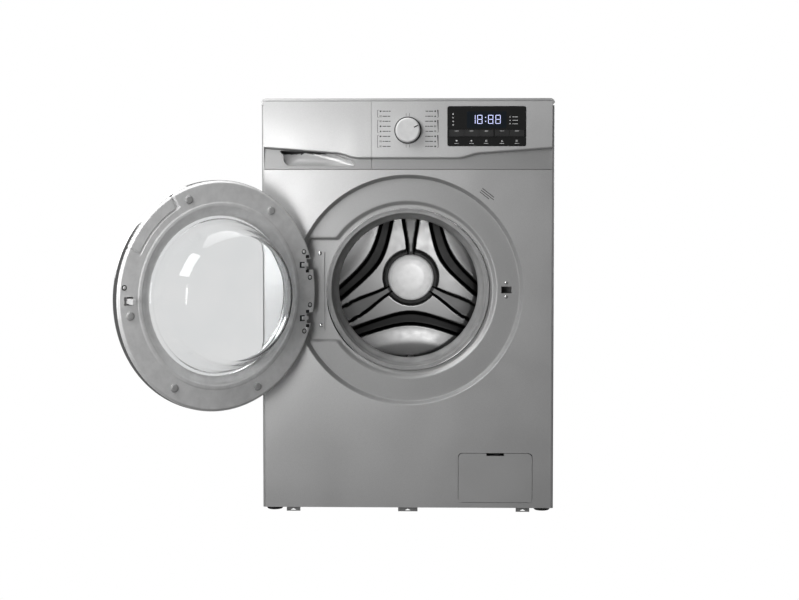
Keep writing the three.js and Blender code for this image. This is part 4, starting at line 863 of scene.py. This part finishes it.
def frame_depth(radius, angle):
    """Depth of the door's inner frame, seen as the closed door's inner face."""
    angle = (angle + pi) % (2 * pi) - pi
    edge = smooth(DOOR_RADIUS - 0.4 - radius, 0, 5) * 4.7
    ring = (smooth(183 - radius, 0, 2.4) - smooth(176 - radius, 0, 4)) * 1.3
    slope = smooth(176 - radius, 0, 20) * 6.5
    arc = max(0, 1 - abs(radius - GRIP_RADIUS) / 2.4) * smooth(angle, GRIP_FROM - 0.01, GRIP_FROM)
    arc *= 1 - smooth(angle, GRIP_TO, GRIP_TO + 0.01)
    near = max(0, 1 - abs((angle - GRIP_FROM) * radius) / 2.2)
    far = smooth(5.0 - abs((angle - GRIP_TO) * radius), 0, 2.5)
    sides = max(near, far * 1.3) * smooth(radius, GRIP_RADIUS - 1, GRIP_RADIUS)
    inside = smooth(radius, GRIP_RADIUS, GRIP_RADIUS + 3) * smooth(angle, GRIP_FROM, GRIP_FROM + 0.01)
    inside *= 1 - smooth(angle, GRIP_TO - 0.01, GRIP_TO)
    return 2.3 + edge + ring - slope - 3.2 * max(arc, sides) + 0.7 * inside


def ear_notches():
    """Cutters for the two places where the hinge passes through the door's rim."""
    across = (-DOOR_RADIUS - 5, HINGE_BRACKET_EDGE)
    return [brick(across, (DOOR_FRONT - 5, DOOR_FACE + 8), (DRUM_Z + a, DRUM_Z + b))
            for a, b in ((EAR_LOW, EAR_HIGH), (-EAR_HIGH, -EAR_LOW))]


frame_ring = polar_sheet(frame_depth, DOOR_RADIUS - 0.4, GLASS_RADIUS + 4, 1.1, -WALL)
hook_window = brick((HOOK_X - 10, HOOK_X + 9), (-10, 20), (DRUM_Z - 8, DRUM_Z + 8))
slot_places = [DRUM_Z + side * 71 for side in (-1, 1)]
side_slots = [brick((-209, -199), (2, 12), (place - 3, place + 3)) for place in slot_places]
frame_ring = cut_out(frame_ring, *ear_notches(), hook_window, *side_slots)
finish_mesh("door_inner_frame", frame_ring, DOOR_GREY, "door", "silver_plastic", door=True,
            replaces=["door_frame"])

trim_line = [(DOOR_RADIUS, 2), (DOOR_RADIUS, DOOR_FRONT + 15), (DOOR_RADIUS - 3, DOOR_FRONT + 8),
             (DOOR_RADIUS - 9, DOOR_FRONT + 3), (DOOR_RADIUS - 20, DOOR_FRONT),
             (DOOR_RADIUS - 38, DOOR_FRONT + 0.8), (GLASS_RADIUS + 12, DOOR_FRONT + 8),
             (GLASS_RADIUS + 5, DOOR_FRONT + 14)]
trim = cut_out(lathe(sheet_profile(trim_line, -WALL, 6, 5), segments=240), *ear_notches())
finish_mesh("door_bright_rim", trim, CHROME, "door", "bright_trim", door=True, replaces=["door_trim"])

glass_line = [(GLASS_RADIUS + 15, -1.2), (GLASS_RADIUS, -1.2), (GLASS_RADIUS - 1, 8), (GLASS_RADIUS - 6, 22),
              (GLASS_RADIUS - 12, 35), (GLASS_RADIUS - 22, 60), (GLASS_RADIUS - 33, 76),
              (GLASS_RADIUS - 46, 81), (0, 83)]
GLASS_WALL = 4
door_bowl = lathe(sheet_profile(glass_line, GLASS_WALL, 11, 6), segments=200)
finish_mesh("door_bowl", door_bowl, GLASS, "door", "door_glass", sharp=60, door=True, replaces=["door_glass"])


BUMPER_ANGLES = (69, 125, -8, -58, -114)
bumper_line = [(0, DOOR_FACE + 3.2), (6.2, DOOR_FACE + 3.2), (8.2, DOOR_FACE + 1.6), (8.5, DOOR_FACE - 1),
               (0, DOOR_FACE - 1)]
for number, angle in enumerate(BUMPER_ANGLES, 1):
    centre = (RING_RADIUS * cos(radians(angle)), DRUM_Z + RING_RADIUS * sin(radians(angle)))
    turned_piece(f"door_bumper_{number}", bumper_line, 1.2, BUMPER_GREY, "door", "seal_rubber", centre, 40,
                 door=True)

door_screws = [(211, DRUM_Z + 25.5), (-209, DRUM_Z + 28), (-209, DRUM_Z - 28), (-194.5, DRUM_Z + 80.5),
               (-194.5, DRUM_Z - 80.5)]
seat_line = [(0, DOOR_FACE + 0.5), (4.2, DOOR_FACE + 0.5), (5.0, DOOR_FACE + 0.9), (5.4, DOOR_FACE - 1),
             (0, DOOR_FACE - 1)]
for number, (x, z) in enumerate(door_screws, 1):
    turned_piece(f"door_screw_seat_{number}", seat_line, 0.3, DARK_PLASTIC, "door", "silver_plastic",
                 (x, z), 32, door=True)
    head = screw(x, z, DOOR_FACE + 0.5, 3.2, out=1)
    finish_mesh(f"door_screw_{number}", head, PALE, "door", "steel", door=True)

for number, side in enumerate((-1, 1), 1):
    middle = DRUM_Z + side * 54
    # Dark plates in the door frame's hinge slots and round each hinge strap: painted shade for the openings.
    window = block((-196, -184), (DOOR_FACE - 1, PLATE_FACE), (middle - 6, middle + 6), 0.3)
    small = [block((-207, -199), (DOOR_FACE - 1, PLATE_FACE), (DRUM_Z + z - 3, DRUM_Z + z + 3), 0.3)
             for z in (side * 70, side * 41)]
    windows = joined(window, *small)
    finish_mesh(f"hinge_shadow_window_{number}", windows, DARK_PLASTIC, "door", "silver_plastic", door=True)
    strap = block((-204, -188.5), (DOOR_FACE - 1, DOOR_FACE + 2.4), (middle - 3.6, middle + 3.6), 0.6)
    finish_mesh(f"hinge_strap_{number}", strap, PALE, "door", "steel", door=True)

# ---- Gasket ----

RUBBER_WALL = 2.6
gasket_line = [(168, 16.6), (167.5, 13.6), (164.5, 12.6), (161.5, 13.4), (158.5, 12.9), (156.5, 15),
               (157.2, 26), (153.5, 31), (157, 36), (155, 46), (148, 55), (145, 62), (145, 68), (151, 74),
               (168, 78), (172.7, 84), (172.7, 94)]
bellows = lathe(sheet_profile(gasket_line, -RUBBER_WALL, 2.5, 3), segments=200)
finish_mesh("gasket_bellows", bellows, SEAL_GREY, "cabinet", "seal_rubber", sharp=60,
            replaces=["door_gasket"])


CLAMP_RADIUS, CLAMP_Y, CLAMP_WIRE = 166.2, 13.3, 1.1
clamp_line = [(CLAMP_RADIUS + x, CLAMP_Y + y) for x, y in circle(CLAMP_WIRE, count=10)]
finish_mesh("gasket_clamp", lathe(clamp_line, segments=200), STEEL, "cabinet", "steel")
FOLD_FROM, FOLD_TO, FOLD_STEPS, FOLD_SIDES = 178, 240, 40, 14
FOLD_RADIUS, FOLD_Y = 166, 15.6


def fold_section(step):
    """One section of the gasket's lower left fold, thickest in its middle; the fold is coloured black on the
    grey gasket as painted shade.
    """
    share = step / FOLD_STEPS
    angle = radians(FOLD_FROM + (FOLD_TO - FOLD_FROM) * share)
    size = 0.4 + 4.6 * sin(pi * share) ** 0.7
    ring = []
    for i in range(FOLD_SIDES):
        t = 2 * pi * i / FOLD_SIDES
        radius = FOLD_RADIUS + size * 0.85 * cos(t)
        ring.append((radius * cos(angle), FOLD_Y + 0.5 * size * sin(t), DRUM_Z + radius * sin(angle)))
    return ring


# The fold is a black arc on the grey gasket's lower left: painted shade.
fold = loft([fold_section(i) for i in range(FOLD_STEPS + 1)], caps=(True, True))
finish_mesh("gasket_shaded_fold", fold, BLACK_RUBBER, "cabinet", "seal_rubber")

# ---- Drum ----

SECTORS = (30, 150, 270)
ARMS = (90, 210, 330)
SECTOR_NEAR = 95
# How near a channel's middle its faces take the near-black steel, painted shadow.
CHANNEL_SHADE_HALF = 14.5
PRESSED_DEPTH = 9
PRESSED_RADIUS = 224


def nearest(angle, choices):
    """The smallest difference in degrees between an angle and any of the choices."""
    gaps = [(degrees(angle) - choice + 180) % 360 - 180 for choice in choices]
    return min(gaps, key=abs)


def channel_distance(radius, angle):
    """Distance from the middle of the curved channel that runs round each sector."""
    off = nearest(angle, SECTORS)
    line = SECTOR_NEAR / max(cos(radians(off) * 1.3), 0.28)
    slope = max(cos(radians(off) * 1.3), 0.35)
    return (radius - line) * slope


def groove_distance(radius, angle):
    """Distance outside the groove along an arm's middle, negative inside it."""
    across = abs(radius * sin(radians(nearest(angle, ARMS))))
    half = 11 + 10 * smooth(radius, 62, 150)
    return across - half


def back_depth(radius, angle):
    """Depth of the drum's pressed back, with raised sectors between its channels and grooves."""
    channel = 1 - smooth(abs(channel_distance(radius, angle)), 9, 17.5)
    groove = 1 - smooth(groove_distance(radius, angle), -6, 0.5)
    hub = 1 - smooth(radius, 60, 66)
    dome = 2.5 * smooth(channel_distance(radius, angle), 17, 60)
    rim = smooth(radius, 222, 229)
    raised = PRESSED_DEPTH * (1 - max(channel, groove, hub * 0.6)) + dome
    return DRUM_BACK - 0.4 - raised * (1 - rim)


back_sheet = polar_sheet(back_depth, 232, 30, 1.6, 0.3, 420)
# The channels round each sector, the ring round the hub and the edges of the upright arm's groove get the
# near-black steel as painted shadow. The rest of the grooves get the darker groove steel as painted shade.
for face in back_sheet.polygons:
    x, _, z = face.center
    radius, angle = hypot(x, z - DRUM_Z), atan2(z - DRUM_Z, x)
    dark = abs(channel_distance(radius, angle)) < CHANNEL_SHADE_HALF or radius < HUB_RADIUS
    groove = groove_distance(radius, angle) < -1.5
    edge = groove_distance(radius, angle) > -9
    upright = abs(nearest(angle, ARMS[:1])) < 30
    if radius < PRESSED_RADIUS and (dark or groove and edge and upright):
        face.material_index = 1
    elif radius < PRESSED_RADIUS and groove:
        face.material_index = 2
finish_mesh("drum_back", back_sheet, [STAINLESS, PAINTED_SHADOW_STEEL, GROOVE_SHADE_STEEL], "drum", "stainless", sharp=50,
            replaces=["drum_shell"])

MOUTH_LIP = DRUM_FRONT - 6
CORNER = 8
drum_line = [(153, MOUTH_LIP), (155, DRUM_FRONT - 2), (161, DRUM_FRONT), (DRUM_RADIUS - CORNER, DRUM_FRONT),
             (DRUM_RADIUS, DRUM_FRONT + CORNER), (DRUM_RADIUS, DRUM_BACK - CORNER),
             (DRUM_RADIUS - CORNER, DRUM_BACK), (225, DRUM_BACK)]
finish_mesh("drum_wall", lathe(sheet_profile(drum_line, SHEET, 4, 4), segments=240), DRUM_WALL, "drum",
            "stainless", replaces=["drum_shell"])

HOLE_ROWS, HOLES_ROUND, HOLE_SIDES = 14, 60, 8
FIRST_ROW, ROW_PITCH = 128, 20
HOLE_RADIUS = 1.8
INNER_RADIUS = 237.2
LIFTER_HALF = 9


def drain_hole(turn, y):
    """A dark disc on the inside of the drum's wall, painted shade standing for a drain hole."""
    ring = []
    for i in range(HOLE_SIDES):
        t = 2 * pi * i / HOLE_SIDES
        side = turn + HOLE_RADIUS * cos(t) / 237
        ring.append((INNER_RADIUS * cos(side), y + HOLE_RADIUS * sin(t), DRUM_Z + INNER_RADIUS * sin(side)))
    deeper = [(x * 1.004, b, DRUM_Z + (z - DRUM_Z) * 1.004) for x, b, z in ring]
    return loft([ring, deeper], caps=(True, True))


holes = []
for line_number in range(HOLE_ROWS):
    for place in range(HOLES_ROUND):
        turn = 2 * pi * (place + 0.5 * (line_number % 2)) / HOLES_ROUND
        if abs(nearest(turn, SECTORS)) >= LIFTER_HALF:
            holes.append(drain_hole(turn, FIRST_ROW + line_number * ROW_PITCH))
# The drain holes are dark discs, not openings: painted shade.
finish_mesh("drum_drain_holes", joined(*holes), PAINTED_SHADOW_STEEL, "drum", "stainless")
cap_line = [(0, DRUM_BACK - 15.5), (30, DRUM_BACK - 15), (44, DRUM_BACK - 13.4), (50, DRUM_BACK - 11.4),
            (52.5, DRUM_BACK - 8), (53.5, DRUM_BACK - 1.8), (0, DRUM_BACK - 1.8)]
turned_piece("drum_hub_cap", cap_line, 3, CAP_GREY, "drum", "pale_plastic", segments=120,
             replaces=["hub_cap"])

# ---- Rear cover and feet ----

COVER_SEAT = limits("rear_panel")[1][1] + GAP
COVER_TOP = COVER_SEAT + 8
COVER_SCREWS, COVER_SCREW_RADIUS = 6, 167
cover_line = [(175, COVER_SEAT), (159, COVER_SEAT), (149, COVER_TOP), (90, COVER_TOP), (84, COVER_TOP - 2),
              (40, COVER_TOP - 2), (34, COVER_TOP), (0, COVER_TOP)]
finish_mesh("rear_cover", lathe(sheet_profile(cover_line, -SHEET, 4, 4), segments=160), ZINC, "cabinet",
            "galvanised", replaces=["rear_service_cover"])
for number in range(COVER_SCREWS):
    angle = radians(30 + 60 * number)
    x, z = COVER_SCREW_RADIUS * cos(angle), DRUM_Z + COVER_SCREW_RADIUS * sin(angle)
    head = screw(x, z, COVER_SEAT + SHEET, 4, out=1)
    finish_mesh(f"cover_screw_{number + 1}", head, STEEL, "cabinet", "steel")

THREAD_FOOT, THREAD_TURNS, THREAD_PITCH = 12, 16, 2.6
THREAD_OUTER, THREAD_INNER = 5, 4.1
FOOT_SEGMENTS = 48


def foot_mesh(number):
    """A levelling foot: a round pad, a nut and a ribbed stem."""
    low, high = limits(f"foot_{number}")
    cx, cy = (low[0] + high[0]) / 2, (low[1] + high[1]) / 2
    line = [(0, 0), (15, 0), (16.5, 1.5), (16.5, 4), (12, 7.3), (9, 7.6), (9, 10.6), (THREAD_OUTER, 10.8)]
    for turn in range(THREAD_TURNS):
        rib = THREAD_FOOT + turn * THREAD_PITCH
        line.extend([(THREAD_OUTER, rib), (THREAD_INNER, rib + THREAD_PITCH / 2)])
    line.extend([(4.6, high[2] - 0.6), (0, high[2])])
    return loft([[(x, y, z) for x, y in circle(radius, (cx, cy), FOOT_SEGMENTS)] for radius, z in line])


for number in range(1, 5):
    finish_mesh(f"foot_pad_{number}", foot_mesh(number), DARK_PLASTIC, f"foot_{number}", "black_rubber",
                replaces=[f"foot_{number}"])

# ---- Stage, light and camera ----


def aim_light(data, place, target):
    """Puts a light at a place of the cabinet's frame and turns it to a target."""
    light = bpy.data.objects.new(data.name, data)
    light.location = row(*place)
    light.rotation_euler = (row(*target) - light.location).to_track_quat("-Z", "Y").to_euler()
    bpy.context.scene.collection.objects.link(light)


def area_light(name, place, target, size, power):
    """A square soft light; its size is in metres and its power in watts."""
    data = bpy.data.lights.new(name, "AREA")
    data.size = size
    data.energy = power
    aim_light(data, place, target)


def spot_light(name, place, target, angle, power):
    """A narrow light with a soft edge."""
    data = bpy.data.lights.new(name, "SPOT")
    data.energy = power
    data.spot_size = radians(angle)
    data.spot_blend = 0.35
    data.shadow_soft_size = 0.04
    aim_light(data, place, target)


area_light("key", (-1050, -1000, 1550), (-40, 0, 520), 0.9, 23)
area_light("low_left", (-650, -1600, 500), (-200, 0, 480), 0.5, 6.5)
area_light("front_fill", (-1200, -2900, 700), (0, 0, 420), 1.2, 12)
spot_light("drum_spot", (120, -2600, 620), (0, 60, DRUM_Z), 6.6, 135)
area_light("top", (0, 250, 2300), (0, 250, 850), 1.6, 20)
area_light("back_left", (-1800, 2100, 1300), (0, 300, 450), 1.5, 22)
area_light("back_right", (1900, 1600, 1100), (0, 300, 450), 1.5, 18)

# The world is white where the camera sees it, a little darker through glass, and dim as a light.
WORLD_LIGHT = 0.13
THROUGH_GLASS = 0.7
world = bpy.data.worlds.new("studio")
bpy.context.scene.world = world
world.use_nodes = True
nodes, links = world.node_tree.nodes, world.node_tree.links
background = nodes["Background"]
background.inputs["Color"].default_value = (1, 1, 1, 1)
path = nodes.new("ShaderNodeLightPath")
seen = nodes.new("ShaderNodeMath")
seen.operation = "MAXIMUM"
links.new(path.outputs["Is Camera Ray"], seen.inputs[0])
through = nodes.new("ShaderNodeMath")
through.operation = "MULTIPLY"
through.inputs[1].default_value = THROUGH_GLASS
links.new(path.outputs["Is Transmission Ray"], through.inputs[0])
links.new(through.outputs["Value"], seen.inputs[1])
strength = nodes.new("ShaderNodeMapRange")
strength.inputs["To Min"].default_value = WORLD_LIGHT
strength.inputs["To Max"].default_value = 1.0
links.new(seen.outputs["Value"], strength.inputs["Value"])
links.new(strength.outputs["Result"], background.inputs["Strength"])

EYE = (51, -3000, 680)
PAN_LEFT, TILT_DOWN = radians(1.3), radians(2.5)
camera_data = bpy.data.cameras.new("camera")
camera_data.lens = 66.2
camera_data.sensor_width = 36
camera_data.shift_y = -0.0675
camera_data.clip_end = 50
camera = bpy.data.objects.new("camera", camera_data)
camera.location = row(*EYE)
camera.rotation_euler = (pi / 2 - TILT_DOWN, 0, PAN_LEFT)
bpy.context.scene.collection.objects.link(camera)
bpy.context.scene.camera = camera
bpy.context.scene.view_settings.view_transform = "Standard"
